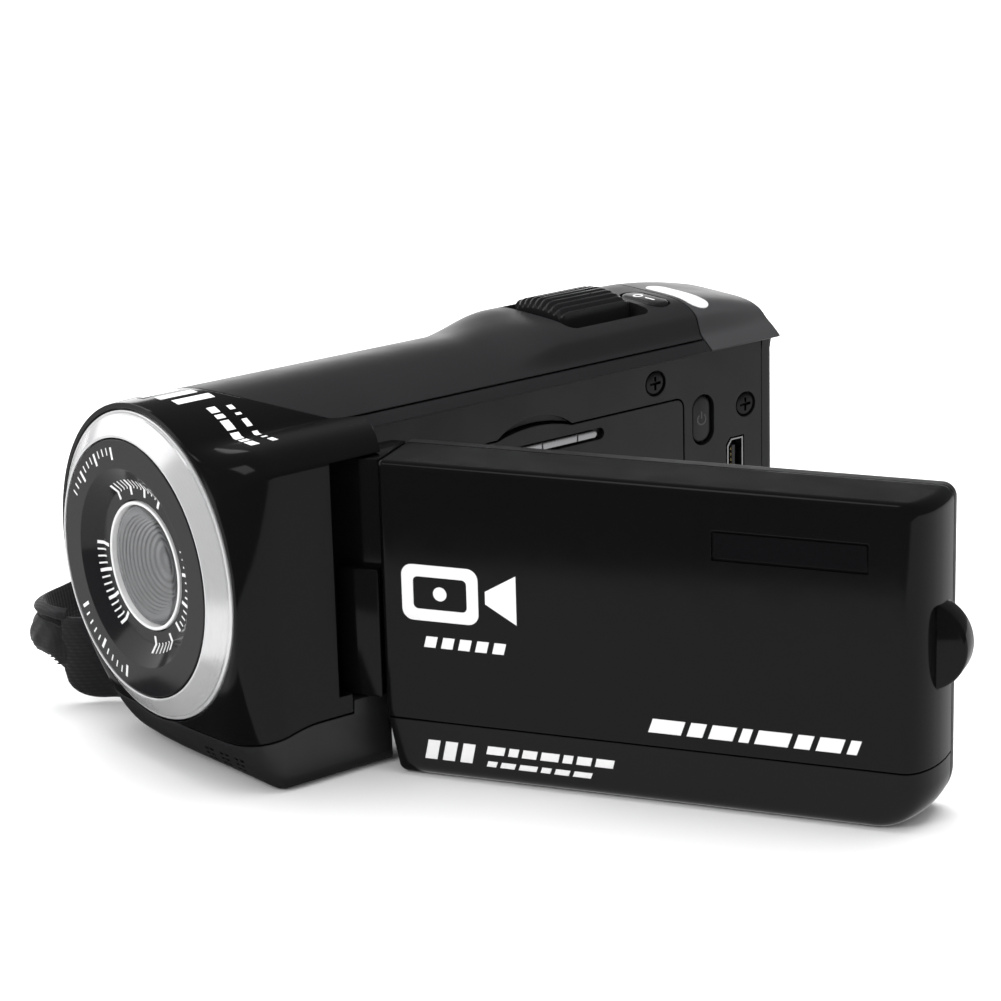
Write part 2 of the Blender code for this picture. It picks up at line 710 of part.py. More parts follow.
def electronics():
    object_from("main_board", box((-3.4, -22.0, 9.0), (-2.2, 48.0, 43.0)), "board")
    holder = box((-1.9, -16.0, 10.0), (1.7, 13.0, 38.0))
    object_from("card_holder", cut(holder, box((-1.4, -14.8, 12.0), (1.2, 11.8, 45.0))), "steel")
    object_from("memory_card", box((-1.1, -13.6, 12.3), (0.9, 10.6, 41.8)), "screen_glass")
    cell = prism("X", rounded_rectangle((0.6, 4.2), (34.4, 37.0), (1.2,) * 4, 3), 2.4, 8.6)
    object_from("battery", cell, "battery_grey")
    object_from("battery_contacts", box((2.8, 34.9, 12.0), (7.6, 36.9, 24.0)), "battery_grey")
    object_from("speaker", rod("X", (28.0, 26.0), 9.0, -9.5, -5.5, 24), "black_steel")
    object_from("microphone", rod("Y", (10.5, 6.2), 2.4, -44.5, -41.5, 16), "steel")
    object_from("control_board", box((-11.0, 12.0, 45.4), (9.0, 37.2, 46.6)), "board")
    hollow = [(USB_CENTRE[0] + (y - USB_CENTRE[0]) * 0.76, USB_CENTRE[1] + (z - USB_CENTRE[1]) * 0.88)
              for y, z in usb_outline()]
    shell = cut(prism("X", usb_outline(), 4.6, WALL_X - 0.2), prism("X", hollow, 5.4, 20))
    shell = union(shell, box((5.0, 46.7, 24.2), (10.0, 47.5, 29.0)))
    object_from("usb_socket", shell, "steel")


def screw(name, axis, place, face, inwards, look):
    """A small cross-head screw; inwards is the sign of its way in along the axis."""
    head = [(0, face), (SCREW_HEAD_R - 0.25, face), (SCREW_HEAD_R, face + 0.25 * inwards)]
    head += [(SCREW_HEAD_R, face + 0.65 * inwards), (SCREW_SHANK_R, face + 0.65 * inwards)]
    head += [(SCREW_SHANK_R, face + 4.5 * inwards), (0, face + 4.5 * inwards)]
    a, b = place
    slots = []
    for half_a, half_b in ((1.0, 0.22), (0.22, 1.0)):
        outline = [(a - half_a, b - half_b), (a + half_a, b - half_b)]
        outline += [(a + half_a, b + half_b), (a - half_a, b + half_b)]
        slots.append(prism(axis, outline, *sorted((face - 1.0 * inwards, face + 0.5 * inwards))))
    object_from(name, cut(turned(axis, place, head, 20), *slots), look)


def fasteners():
    for number, place in enumerate(WALL_SCREWS, 1):
        screw(f"wall_screw_{number}", "X", place, WALL_X - 0.05, -1, "black_steel")
    for number, place in enumerate(BASE_SCREWS, 1):
        screw(f"base_screw_{number}", "Z", place, 0.2, 1, "black_steel")
    bush = [(TRIPOD_BUSH_R, 0.3), (TRIPOD_BUSH_R, 7.0), (TRIPOD_HOLE_R, 7.0), (TRIPOD_HOLE_R, 0.3)]
    object_from("tripod_bush", turned("Z", TRIPOD_PLACE, bush, 24), "brass")


# --- Controls -------------------------------------------------------------------------------------


def controls():
    zoom_lever()
    button = prism("Z", stadium((PHOTO_X, PHOTO_Y), 4.5, 1.9), 48.5, PHOTO_TOP_Z)
    object_from("photo_button", button, "matt_black", (PHOTO_X, PHOTO_Y, PHOTO_TOP_Z))
    power = prism("X", stadium_upright(POWER_PLACE, 3.7, 1.9), 6.5, WALL_X - 0.35)
    object_from("power_button", power, "matt_black", (WALL_X, *POWER_PLACE))
    record = [(0, 52.0), (RECORD_R, 52.0), (RECORD_R, 55.6), (RECORD_R - 0.8, 56.1), (0, 55.7)]
    place = (RECORD_PLACE[0], 56.0, RECORD_PLACE[1])
    object_from("record_button", turned("Y", RECORD_PLACE, record, 32), "silver", place)
    play = [(0, 52.0), (PLAY_R, 52.0), (PLAY_R, 55.3), (PLAY_R - 0.4, 55.6), (0, 55.6)]
    place = (PLAY_PLACE[0], 55.6, PLAY_PLACE[1])
    object_from("play_button", turned("Y", PLAY_PLACE, play, 20), "matt_black", place)
    object_from("status_light", rod("Y", LIGHT_PLACE, LIGHT_R, 52.0, 55.1, 12), "red")


def zoom_lever():
    """A thumb slide with a crowned, ribbed top, on a stem through the well's floor."""
    ribs = 9
    outline = [(-LEVER_HALF_X, WELL_FLOOR_Z + GAP), (LEVER_HALF_X, WELL_FLOOR_Z + GAP)]
    for i in range(ribs * 2 + 1):
        x = LEVER_HALF_X * (1 - i / ribs)
        crown = 54.9 - 1.2 * (x / LEVER_HALF_X) ** 2
        outline.append((x, crown - (0.55 if i % 2 else 0.0)))
    slide = union(prism("Y", outline, 18.3, 31.2), box((-1.8, 23.0, 47.4), (1.8, 27.0, 51.5)))
    object_from("zoom_lever", slide, "matt_black", (0, 25.0, 50.0))


def battery_door():
    """A cover hinged along its lower edge, with a sliding latch in a slot."""
    axis_x, axis_z = DOOR_AXIS
    inner = WALL_X - 2 * (WALL_X - axis_x)
    section = [(inner, axis_z), *arc((axis_x, axis_z), WALL_X - axis_x, 180, 360, 8)]
    section += [(WALL_X, DOOR_TOP_Z - GAP), (inner, DOOR_TOP_Z - GAP)]
    plate = prism("Y", section, DOOR_FRONT_Y + GAP, DOOR_REAR_Y - GAP)
    plate = common(plate, prism("X", door_outline(GAP), 5, 20))
    tongue = prism("X", scoop(TONGUE_R - GAP, TONGUE_Z, 37.6), inner, WALL_X)
    slot_y = (LATCH_SLOT[0] + LATCH_SLOT[1]) / 2
    slot = prism("X", stadium((slot_y, LATCH_Z), (LATCH_SLOT[1] - LATCH_SLOT[0]) / 2, 0.9),
                 WALL_X - 0.95, 20)
    bore = rod("Y", DOOR_AXIS, 0.47, DOOR_FRONT_Y - 1, DOOR_REAR_Y + 1, 12)
    place = (axis_x, SCOOP_Y, axis_z)
    object_from("battery_door", cut(union(plate, tongue), slot, bore), "matt_black", place)
    pin = rod("Y", DOOR_AXIS, 0.35, DOOR_FRONT_Y - 1.0, DOOR_REAR_Y + 1.0, 12)
    object_from("door_hinge_pin", pin, "steel", place)
    bar_y = (LATCH_BAR[0] + LATCH_BAR[1]) / 2
    bar = prism("X", stadium((bar_y, LATCH_Z), (LATCH_BAR[1] - LATCH_BAR[0]) / 2, 0.6, 6),
                WALL_X - 0.75, WALL_X - 0.1)
    marks = [box((WALL_X - 0.3, y - 0.12, 30), (WALL_X + 1, y + 0.12, 40)) for y in (10.0, 16.6)]
    object_from("door_latch", cut(bar, *marks), "silver", (WALL_X, bar_y, LATCH_Z))


# --- Hinge and screen -----------------------------------------------------------------------------


def hinge(swing):
    """The pin stays in the body; the block turns on it and carries the screen's tilt shaft."""
    pin = rod("Z", (SWING_X, SWING_Y), PIN_R, PILLAR_TOP_Z - 2.9, 46.7)
    object_from("hinge_pin", pin, "steel", (SWING_X, SWING_Y, TILT_Z))
    face = PANEL_START - 0.35
    outline = [(0.0, -PANEL_OUT), (face, -PANEL_OUT), (face, 8.4), (2.6, 8.4)]
    outline += arc((0, 0), PANEL_OUT, 168, 264, 9)
    block = cut(
        prism("Z", outline, BLOCK_BOTTOM_Z, BLOCK_TOP_Z),
        rod("Z", (0, 0), PIN_R + BORE_CLEARANCE, 0, 60),
        rod("X", (-PANEL_MID, TILT_Z), SHAFT_R + BORE_CLEARANCE, 1.3, 20, 20),
    )
    object_from("hinge_block", block, "gloss_black", parent=swing)
    shaft = rod("X", (-PANEL_MID, TILT_Z), SHAFT_R, 1.5, 10.5, 20)
    object_from("tilt_shaft", shaft, "steel", (0, -PANEL_MID, TILT_Z), swing)


def panel_blank(shrink=0.0):
    """The screen's whole shape: its plan, limited by its front outline."""
    start, end = PANEL_START + shrink, PANEL_END - shrink
    outer, inner = -PANEL_OUT + shrink, -PANEL_IN - shrink
    low, high = PANEL_BOTTOM_Z + shrink, PANEL_TOP_Z - shrink
    plan = rounded_rectangle((start, outer), (end, inner), (0.5, 0.5, 1.0, 0.8), 4)
    reach, depth = (r - shrink for r in PANEL_END_ROUND)
    curve = [(end - reach * (1 - math.sin(a)), outer + depth * (1 - math.cos(a)))
             for a in (math.radians(90 * i / 10) for i in range(11))]
    plan = plan[:5] + curve + plan[10:]
    front = rounded_rectangle((start, low), (end, high), (1.2, 5.8 - shrink, 1.8, 0.6), 6)
    return common(prism("Z", plan, low, high), prism("Y", front, outer - 1, inner + 1))


def screen_panel(tilt):
    """All in the panel's own directions: X along it, -Y outwards, Z up."""
    split = -PANEL_BEZEL_SPLIT
    centre = (0, -PANEL_MID, TILT_Z)

    def add(name, solid, look):
        object_from(name, solid, look, centre, tilt).location = (0, 0, 0)

    shaft_hole = ("X", (-PANEL_MID, TILT_Z), SHAFT_R + 0.25, 0, 12, 20)
    above = box((0, -20, PANEL_SEAM_Z + 0.15), (100, split - 0.15, 60))
    hollow = box((PANEL_START + 1.4, 0, 2), (PANEL_END - 3.2, 20, PANEL_TOP_Z - 1.4))
    recess = box((52.4, -4, 35.3), (73.7, -PANEL_OUT + 0.4, 39.5))
    cover = cut(common(panel_blank(), above), panel_blank(1.4), hollow, rod(*shaft_hole), recess)
    add("panel_outer_cover", cover, "gloss_black")

    below = box((0, -20, -5), (100, split - 0.15, PANEL_SEAM_Z - 0.15))
    hollow = box((PANEL_START + 1.4, 0, 1.6), (PANEL_END - 3.2, 20, 20))
    add("panel_lower_trim", cut(common(panel_blank(), below), panel_blank(1.4), hollow), "panel_band")

    half_long, half_high = SCREEN_LONG / 2, SCREEN_HIGH / 2
    window = rounded_rectangle(
        (SCREEN_CENTRE - half_long - GAP, TILT_Z - half_high - GAP),
        (SCREEN_CENTRE + half_long + GAP, TILT_Z + half_high + GAP), (0.6,) * 4, 2)
    bezel = common(panel_blank(), box((0, split + 0.15, -5), (100, 20, 60)))
    add("panel_bezel", cut(bezel, prism("Y", window, 0, 20)), "matt_black")
    add("lcd_screen", box((SCREEN_CENTRE - half_long, 7.4, TILT_Z - half_high),
                          (SCREEN_CENTRE + half_long, 9.2, TILT_Z + half_high)), "screen_glass")
    add("lcd_backplate", box((SCREEN_CENTRE - half_long - 2, 4.2, TILT_Z - half_high - 2),
                             (SCREEN_CENTRE + half_long + 2, 7.0, TILT_Z + half_high + 2)), "steel")
    plate = box((PANEL_START + 1.8, 0.2, TILT_Z - 7), (PANEL_START + 3.2, 6.6, TILT_Z + 7))
    add("tilt_plate", cut(plate, rod(*shaft_hole)), "steel")
    edge = PANEL_END + 0.3
    middle = (PANEL_END - 2.9, TILT_Z + TAB_RISE)
    curve = [p for p in arc(middle, TAB_R, -58, 58, 12) if p[0] > edge]
    half = math.sqrt(TAB_R**2 - (edge - middle[0]) ** 2)
    tab = [(edge, middle[1] - half)] + curve + [(edge, middle[1] + half)]
    add("panel_finger_tab", prism("Y", tab, 0.5, 5.5), "gloss_black")


# --- Strap ----------------------------------------------------------------------------------------


def strap_route():
    """The strap's middle line in plan, from its front lug out round the hand to its rear lug."""
    knots = [(-23.2, -44.6), (-27.0, -49.6), (-32.5, -51.0), (-37.0, -47.0), (-39.4, -36.0)]
    knots += [(-40.2, -15.0), (-39.0, 8.0), (-35.6, 26.0), (-29.8, 38.0), (-24.4, 44.0)]
    points = [Vector(k) for k in knots]
    points = [2 * points[0] - points[1]] + points + [2 * points[-1] - points[-2]]
    route = []
    steps = 4
    for a, b, c, d in zip(points, points[1:], points[2:], points[3:]):
        for i in range(steps):
            t = i / steps
            route.append(0.5 * (2 * b + (c - a) * t + (2 * a - 5 * b + 4 * c - d) * t**2
                                + (3 * b - a - 3 * c + d) * t**3))
    return route + [points[-2]]


def band(route, thick, low, high):
    """An upright strip of one thickness along a route in plan."""
    count = len(route)
    rings = []
    for i, here in enumerate(route):
        heading = (route[min(i + 1, count - 1)] - route[max(i - 1, 0)]).normalized()
        side = Vector((-heading.y, heading.x)) * thick / 2
        left, right = here + side, here - side
        rings.append([(*left, low), (*right, low), (*right, high), (*left, high)])
    return loft(rings)


def strap():
    route = strap_route()
    front, rear = 10, len(route) - 7
    low, high = STRAP_BOTTOM_Z, STRAP_TOP_Z
    middle = list(route[front : rear + 1])
    middle[0] = middle[0] + (middle[1] - middle[0]).normalized() * GAP
    middle[-1] = middle[-1] - (middle[-1] - middle[-2]).normalized() * GAP
    object_from("strap_webbing_front", band(route[: front + 1], 1.6, low + 0.8, high - 1.0), "webbing")
    object_from("strap_pad", band(middle, STRAP_THICK, low, high), "pad")
    object_from("strap_webbing_rear", band(route[rear:], 1.6, low + 0.8, high - 1.0), "webbing")
    for name, y in (("strap_lug_front", -43.4), ("strap_lug_rear", 45.6)):
        outline = [(-19.6, 8.2), (-21.6, 4.2), (-22.9, 5.2), (-22.9, 15.0), (-22.4, 15.6), (-21.9, 13.4)]
        object_from(name, prism("Y", outline, y - 1.3, y + 1.3), "black_steel")


def build():
    clear_scene()
    front_housing()
    base_cover()
    top_cover()
    rear_top_cap()
    left_side_cover()
    right_side_cover()
    rear_cover()
    lens()
    electronics()
    fasteners()
    controls()
    battery_door()
    swing = empty_at("swing_axis", (SWING_X, SWING_Y, 0), SWING_REST)
    hinge(swing)
    screen_panel(empty_at("tilt_axis", (0, -PANEL_MID, TILT_Z), parent=swing))
    strap()


build()
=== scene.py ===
"""Looks of the pocket camcorder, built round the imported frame.

Shapes are drawn in millimetres in the row frame (+X to the screen side, +Y to the rear, +Z up) and
are scaled to metres where a piece is made. The screen is drawn in its own directions (X along it, -Y
out of its gloss face, Z up) and then turned with the swing axis.
"""

import json
import math

import bmesh
import bpy
from mathutils import Matrix, Vector

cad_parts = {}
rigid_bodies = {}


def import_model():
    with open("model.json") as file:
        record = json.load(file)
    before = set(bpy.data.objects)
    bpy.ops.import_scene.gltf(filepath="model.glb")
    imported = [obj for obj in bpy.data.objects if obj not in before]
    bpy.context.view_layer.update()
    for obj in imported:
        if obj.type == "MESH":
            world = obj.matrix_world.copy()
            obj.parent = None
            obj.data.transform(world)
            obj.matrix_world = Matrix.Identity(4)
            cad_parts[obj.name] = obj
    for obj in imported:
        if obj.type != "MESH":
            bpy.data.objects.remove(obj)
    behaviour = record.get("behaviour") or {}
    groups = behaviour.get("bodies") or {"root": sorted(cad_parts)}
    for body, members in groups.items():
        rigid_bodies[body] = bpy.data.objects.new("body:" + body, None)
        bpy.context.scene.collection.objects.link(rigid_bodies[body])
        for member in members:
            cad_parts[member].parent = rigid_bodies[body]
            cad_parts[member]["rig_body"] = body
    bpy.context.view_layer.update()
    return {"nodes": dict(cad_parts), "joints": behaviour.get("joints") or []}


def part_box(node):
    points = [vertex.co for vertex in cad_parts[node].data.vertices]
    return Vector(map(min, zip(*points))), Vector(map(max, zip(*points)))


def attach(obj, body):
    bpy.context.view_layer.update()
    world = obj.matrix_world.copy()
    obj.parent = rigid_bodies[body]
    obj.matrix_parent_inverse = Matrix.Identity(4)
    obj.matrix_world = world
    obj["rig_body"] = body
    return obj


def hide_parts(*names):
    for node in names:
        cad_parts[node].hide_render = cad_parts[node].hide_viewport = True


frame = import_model()

MM = 0.001


def span(node):
    """Lowest and highest corner of a CAD node, in millimetres."""
    low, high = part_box(node)
    return low / MM, high / MM


def joint(name):
    """The place of a joint's axis, in millimetres, and its direction."""
    found = next(j for j in frame["joints"] if j["name"] == name)
    return Vector(found["pos_m"]) / MM, Vector(found["axis"])


ring_low, ring_high = span("lens_bezel_ring")
disc_low, disc_high = span("lens_face_disc")
trim_low, trim_high = span("lens_trim_ring")
glass_low, glass_high = span("lens_front_glass")
cap_low, cap_high = span("rear_top_cap")
wall_high = span("left_side_cover")[1]
housing_high = span("front_housing")[1]
door_low, door_high = span("battery_door")
block_low, block_high = span("hinge_block")
lever_low, lever_high = span("zoom_lever")
photo_high = span("photo_button")[1]
pad_low, pad_high = span("strap_pad")

# Body
GAP = 0.3
HALF_GAP = GAP / 2
WALL = 1.5
LENS_Z = (ring_low.z + ring_high.z) / 2
FRONT_Y = ring_low.y
LAND_Y = ring_high.y - 0.9
REAR_Y = wall_high.y
BARREL_R = housing_high.z - LENS_Z
SIDE_X = housing_high.x
CAP_Y = cap_low.y - HALF_GAP
CAP_REAR_Y = cap_high.y
LAND_R = BARREL_R - 0.25
SHELF_Z = 47.9
# The shelf's outer edge: how wide its slope is, how far it falls and the radius of its corner
SHOULDER = (7.5, 2.2, 1.0)
SHOULDER_LEAN = 0.68
# The housing spreads from the round land behind the ring to its full section
GROWTH_LENGTH = 6.6
GROWTH_POWER = 1.6
WALL_X = 11.0
STRIP_X = 15.2
STRIP_UNDER_Z = 45.6
FOOT_X = -7.6
FOOT_R = 2.3
SEAM_SIDE_Z = 8.95
SEAM_TOP_X = 13.3
SEAM_TOP_Z = LENS_Z + math.sqrt(BARREL_R**2 - SEAM_TOP_X**2)
SEAM_GRIP_Z = 40.05
SEAM_FOOT_Z = 6.8

# Raised control platform at the rear of the top
PLATFORM_HALF_WIDTH = 14.8
PLATFORM_HEIGHT = 24.5
PLATFORM_POWER = 4.5
PLATFORM_START_Y = 2.0
PLATFORM_FULL_Y = 15.0
PLATFORM_FALL_Y = 36.0
PLATFORM_FALL = 1.9
PLATFORM_FALL_RUN = 16
# Angles round the lens axis at which the platform rises from the round top, and over how many more
PLATFORM_EDGES = ((55.5, 8), (128, 18))

# Lens
RING_R = (ring_high.x - ring_low.x) / 2
DISC_R = (disc_high.x - disc_low.x) / 2 + 0.2
TRIM_R = (trim_high.x - trim_low.x) / 2
GLASS_R = (glass_high.x - glass_low.x) / 2
CONE_FRONT_R = 14.1
CONE_REAR_R = 11.3
CONE_DEPTH = 2.1
FUNNEL_REAR_Y = FRONT_Y + 9.3
TUBE_INNER_R = 7.45
IRIS_R = 0.9
LENS_SEAT_Y = -50.2

# Screen hinge and the bay it turns in
SWING = joint("panel_swing")[0]
TILT_AXIS = joint("panel_tilt")[1]
SWING_TURN = math.atan2(TILT_AXIS.y, TILT_AXIS.x)
BAY_FRONT_Y = -36.6
BAY_STEP_Y = -34.4
LEDGE_Z = 11.75
PILLAR_TOP_Z = 10.75
PILLAR_REAR_Y = -27.6
LIP_Z = 45.3
SHELF_UNDERSIDE_Z = 46.2
PIN_R = 1.0
PIN_BORE_R = PIN_R + 0.12
PIN_BORE_TOP_Z = 46.72
BLOCK_STEP_Z = 29.6
BLOCK_RECESS = 1.6
BLOCK_EDGE_R = 0.3

# Screen panel
PANEL_START = 5.0
PANEL_END = 82.3
PANEL_END_ROUND = (4.2, 9.0)
PANEL_OUT = 3.0
PANEL_DEPTH = 12.6
PANEL_TOP_Z = 45.1
PANEL_BOTTOM_Z = 0.15
PANEL_SEAM_Z = 8.4
PANEL_SEAM_HALF_GAP = 0.12
PANEL_SPLIT = 7.2
PANEL_WALL = 1.4
PANEL_REAR = PANEL_DEPTH - PANEL_OUT
SHAFT_Y = PANEL_DEPTH / 2 - PANEL_OUT
PANEL_LEFT_TAPER = 1.6
TILT_Z = (PANEL_TOP_Z + PANEL_BOTTOM_Z) / 2
# Depths under the gloss face at which the edges of the panel are drawn
PANEL_DEPTHS = (0.0, 0.03, 0.1, 0.2, 0.34, 0.5, 0.7, 0.9, 1.15, 1.5, 2.0, 2.6, 3.3, 4.0, 5.0, 6.0, 7.5, 9.0)
REAR_EDGE_DEPTH = 1.2
TAB_R = 6.3
TAB_RISE = 2.1
SCREEN_LONG = 60.4
SCREEN_HIGH = 34.4
SCREEN_CENTRE = 44.5
WINDOW_LOW = (52.4, 35.3)
WINDOW_HIGH = (73.7, 39.5)
WINDOW_GAP = 0.35

# Battery door and the places on the wall round it
DOOR_FRONT_Y = door_low.y - GAP
DOOR_REAR_Y = door_high.y + GAP
DOOR_BOTTOM_Z = 2.5
DOOR_TOP_Z = 38.5
DOOR_AXIS = (10.3, 3.5)
SCOOP_Y = 8.6
SCOOP_R = 11.2
SCOOP_Z = 29.7
TONGUE_R = 22.5
TONGUE_Z = 17.1
LATCH_Z = 35.9
LATCH_SLOT = (-0.6, 21.6)
LATCH_BAR = (2.0, 20.4)
DOOR_PIN_BORE_R = 0.47
SCREW_HEAD_R = 1.75
SCREW_SHANK_R = 0.9
SCREW_LONG = 4.5
WALL_SCREWS = ((31.7, 41.6), (49.7, 35.1))
BASE_SCREWS = ((17.5, -41.0), (-6.0, -41.0), (-6.0, 45.0), (6.5, 45.0))
POWER_PLACE = (41.05, 34.2)
USB_CENTRE = (47.5, 26.6)
TRIPOD_PLACE = (1.5, -20.0)
TRIPOD_BUSH_R = 5.5
TRIPOD_HOLE_R = 3.175
RECORD_PLACE = (-5.0, 33.0)
RECORD_R = 6.0
PLAY_PLACE = (-5.0, 18.0)
PLAY_R = 3.2
LIGHT_PLACE = (4.5, 40.5)
LIGHT_R = 1.0
KEY_BASE_Y = 52.0
KEY_FACE_X = WALL_X - 0.35

# Top controls
WELL_HALF_X = 9.4
WELL_FRONT_Y = 17.0
WELL_REAR_Y = 32.6
WELL_FLOOR_Z = 50.2
LEVER_HALF_X = lever_high.x
PHOTO_PLACE = (3.8, 35.8)
PHOTO_TOP_Z = photo_high.z
BADGE_PLACE = (4.0, 42.0)
BADGE_HALF = (4.6, 1.8)

# Microphone slots: their place, the steps between groups and rows, and the shift of each row
SLOT_START = (10.1, 2.37)
SLOT_STEP = (3.25, 0.97)
SLOT_SHIFT = 0.5
SLOT_PAIR = 1.1
SLOT_LONG = 0.8

PRINT = 0.03


# --- Materials -------------------------------------------------------------------------------------

# Each look: colour, its lighter variation, roughness low and high, grain size in mm, grain depth in mm
LOOKS = {
    "gloss_black": ((0.0024, 0.0024, 0.0027), 1.3, 0.09, 0.14, 0.8, 0.0),
    "satin_black": ((0.013, 0.013, 0.014), 1.25, 0.33, 0.40, 0.16, 0.003),
    # The rear cap's look is the satin black made lighter: a painted sheen standing in for the sheen of its
    # reflections
    "cap_painted_sheen": ((0.038, 0.038, 0.040), 1.2, 0.32, 0.38, 0.16, 0.003),
    "matt_black": ((0.010, 0.010, 0.011), 1.3, 0.34, 0.44, 0.18, 0.006),
    "panel_band": ((0.0045, 0.0045, 0.005), 1.25, 0.12, 0.17, 0.5, 0.0),
    "key_black": ((0.009, 0.009, 0.010), 1.3, 0.26, 0.34, 0.25, 0.003),
    "disc_black": ((0.008, 0.008, 0.009), 1.2, 0.10, 0.16, 0.6, 0.0004),
    "silver": ((0.92, 0.92, 0.93), 1.03, 0.16, 0.22, 0.35, 0.0),
    "white_trim": ((0.78, 0.78, 0.78), 1.05, 0.35, 0.45, 0.3, 0.001),
    "white_print": ((0.86, 0.86, 0.86), 1.03, 0.42, 0.5, 0.2, 0.001),
    "print_grey": ((0.07, 0.07, 0.07), 1.05, 0.42, 0.5, 0.2, 0.001),
    "badge": ((0.62, 0.62, 0.63), 1.08, 0.28, 0.36, 0.2, 0.001),
    "steel": ((0.50, 0.50, 0.51), 1.12, 0.22, 0.34, 0.3, 0.002),
    "black_steel": ((0.035, 0.035, 0.037), 1.3, 0.25, 0.38, 0.3, 0.003),
    "brass": ((0.62, 0.46, 0.21), 1.1, 0.26, 0.38, 0.3, 0.002),
    "gold": ((0.75, 0.58, 0.28), 1.1, 0.2, 0.3, 0.2, 0.001),
    "funnel_grey": ((0.11, 0.11, 0.113), 1.1, 0.36, 0.46, 0.3, 0.001),
    "screen_glass": ((0.006, 0.007, 0.010), 1.1, 0.03, 0.05, 1.0, 0.0),
    "window": ((0.003, 0.003, 0.0035), 1.2, 0.03, 0.05, 1.0, 0.0),
    "board": ((0.015, 0.11, 0.045), 1.5, 0.35, 0.55, 1.2, 0.01),
    "battery_can": ((0.15, 0.16, 0.17), 1.25, 0.35, 0.5, 1.5, 0.004),
    "black_part": ((0.02, 0.02, 0.021), 1.3, 0.4, 0.55, 0.5, 0.004),
    "red": ((0.42, 0.015, 0.015), 1.2, 0.2, 0.3, 0.5, 0.001),
    "webbing": ((0.010, 0.010, 0.011), 1.9, 0.75, 0.9, 0.22, 0.05),
    "pad": ((0.011, 0.011, 0.012), 1.7, 0.7, 0.85, 0.30, 0.04),
    "pad_lining": ((0.045, 0.045, 0.047), 1.5, 0.8, 0.92, 0.35, 0.05),
    "thread": ((0.018, 0.018, 0.019), 1.5, 0.6, 0.7, 0.15, 0.02),
}
METALS = {"silver": 0.65, "steel": 1.0, "black_steel": 1.0, "brass": 1.0, "gold": 1.0}
LESS_GLOSS = {"gloss_black", "panel_band", "window"}
EDGE_R = 0.16
# Scale at which a wave texture is one unit long
WAVE_SCALE = math.pi / 10


class Nodes:
    """Adds and links the nodes of one material."""

    def __init__(self, material):
        self.tree = material.node_tree
        self.shader = self.tree.nodes["Principled BSDF"]
        self.place = self.add("ShaderNodeTexCoord").outputs["Object"]

    def add(self, kind, **settings):
        node = self.tree.nodes.new(kind)
        for name, value in settings.items():
            setattr(node, name, value)
        return node

    def link(self, source, target):
        self.tree.links.new(source, target)

    def noise(self, size, detail=3.0):
        """Noise whose features are about this many millimetres across."""
        node = self.add("ShaderNodeTexNoise")
        node.inputs["Scale"].default_value = 1 / (size * MM)
        node.inputs["Detail"].default_value = detail
        self.link(self.place, node.inputs["Vector"])
        return node.outputs["Fac"]

    def between(self, factor, low, high):
        node = self.add("ShaderNodeMapRange")
        node.inputs["From Min"].default_value = 0.3
        node.inputs["From Max"].default_value = 0.7
        node.inputs["To Min"].default_value = low
        node.inputs["To Max"].default_value = high
        self.link(factor, node.inputs["Value"])
        return node.outputs["Result"]

    def colours(self, factor, first, second):
        node = self.add("ShaderNodeMix", data_type="RGBA")
        node.inputs["A"].default_value = (*first, 1)
        node.inputs["B"].default_value = (*second, 1)
        self.link(factor, node.inputs["Factor"])
        return node.outputs["Result"]

    def bump(self, height, depth, normal=None):
        """Bump whose full height is this many millimetres."""
        node = self.add("ShaderNodeBump")
        node.inputs["Strength"].default_value = 1.0
        node.inputs["Distance"].default_value = depth * MM
        self.link(height, node.inputs["Height"])
        if normal:
            self.link(normal, node.inputs["Normal"])
        return node.outputs["Normal"]

    def waves(self, size, kind="BANDS", direction="Z", centre=(0, 0, 0)):
        """A sine wave of this length in millimetres, along an axis or in rings round one."""
        shift = self.add("ShaderNodeMapping")
        shift.inputs["Location"].default_value = [-c * MM for c in centre]
        self.link(self.place, shift.inputs["Vector"])
        node = self.add("ShaderNodeTexWave", wave_type=kind)
        if kind == "RINGS":
            node.rings_direction = direction
        else:
            node.bands_direction = direction
        node.inputs["Scale"].default_value = WAVE_SCALE / (size * MM)
        self.link(shift.outputs["Vector"], node.inputs["Vector"])
        return node.outputs["Fac"]


def look(name):
    """The node material of one look, made on its first use."""
    found = bpy.data.materials.get("look_" + name)
    if found:
        return found
    colour, lighter, smooth_low, smooth_high, grain, depth = LOOKS[name]
    made = bpy.data.materials.new("look_" + name)
    made.use_nodes = True
    nodes = Nodes(made)
    shader = nodes.shader
    shader.inputs["Metallic"].default_value = METALS.get(name, 0.0)
    if name in LESS_GLOSS:
        shader.inputs["Specular IOR Level"].default_value = 0.28
    clouds = nodes.noise(14.0, 4.0)
    second = tuple(min(c * lighter, 1.0) for c in colour)
    nodes.link(nodes.colours(clouds, colour, second), shader.inputs["Base Color"])
    nodes.link(nodes.between(nodes.noise(5.0, 5.0), smooth_low, smooth_high), shader.inputs["Roughness"])
    edge = nodes.add("ShaderNodeBevel", samples=4)
    edge.inputs["Radius"].default_value = EDGE_R * MM
    normal = edge.outputs["Normal"]
    if depth:
        normal = nodes.bump(nodes.noise(grain), depth, normal)
    extra = EXTRAS.get(name)
    if extra:
        normal = extra(nodes, normal)
    nodes.link(normal, shader.inputs["Normal"])
    return made


def turned_metal(nodes, normal):
    """Fine lines turned round the lens, which stretch its reflections across them."""
    nodes.shader.inputs["Anisotropic"].default_value = 0.4
    nodes.link(nodes.add("ShaderNodeTangent", direction_type="RADIAL", axis="Y").outputs["Tangent"],
               nodes.shader.inputs["Tangent"])
    lines = nodes.waves(0.42, "RINGS", "Y", (0, 0, LENS_Z))
    return nodes.bump(lines, 0.004, normal)


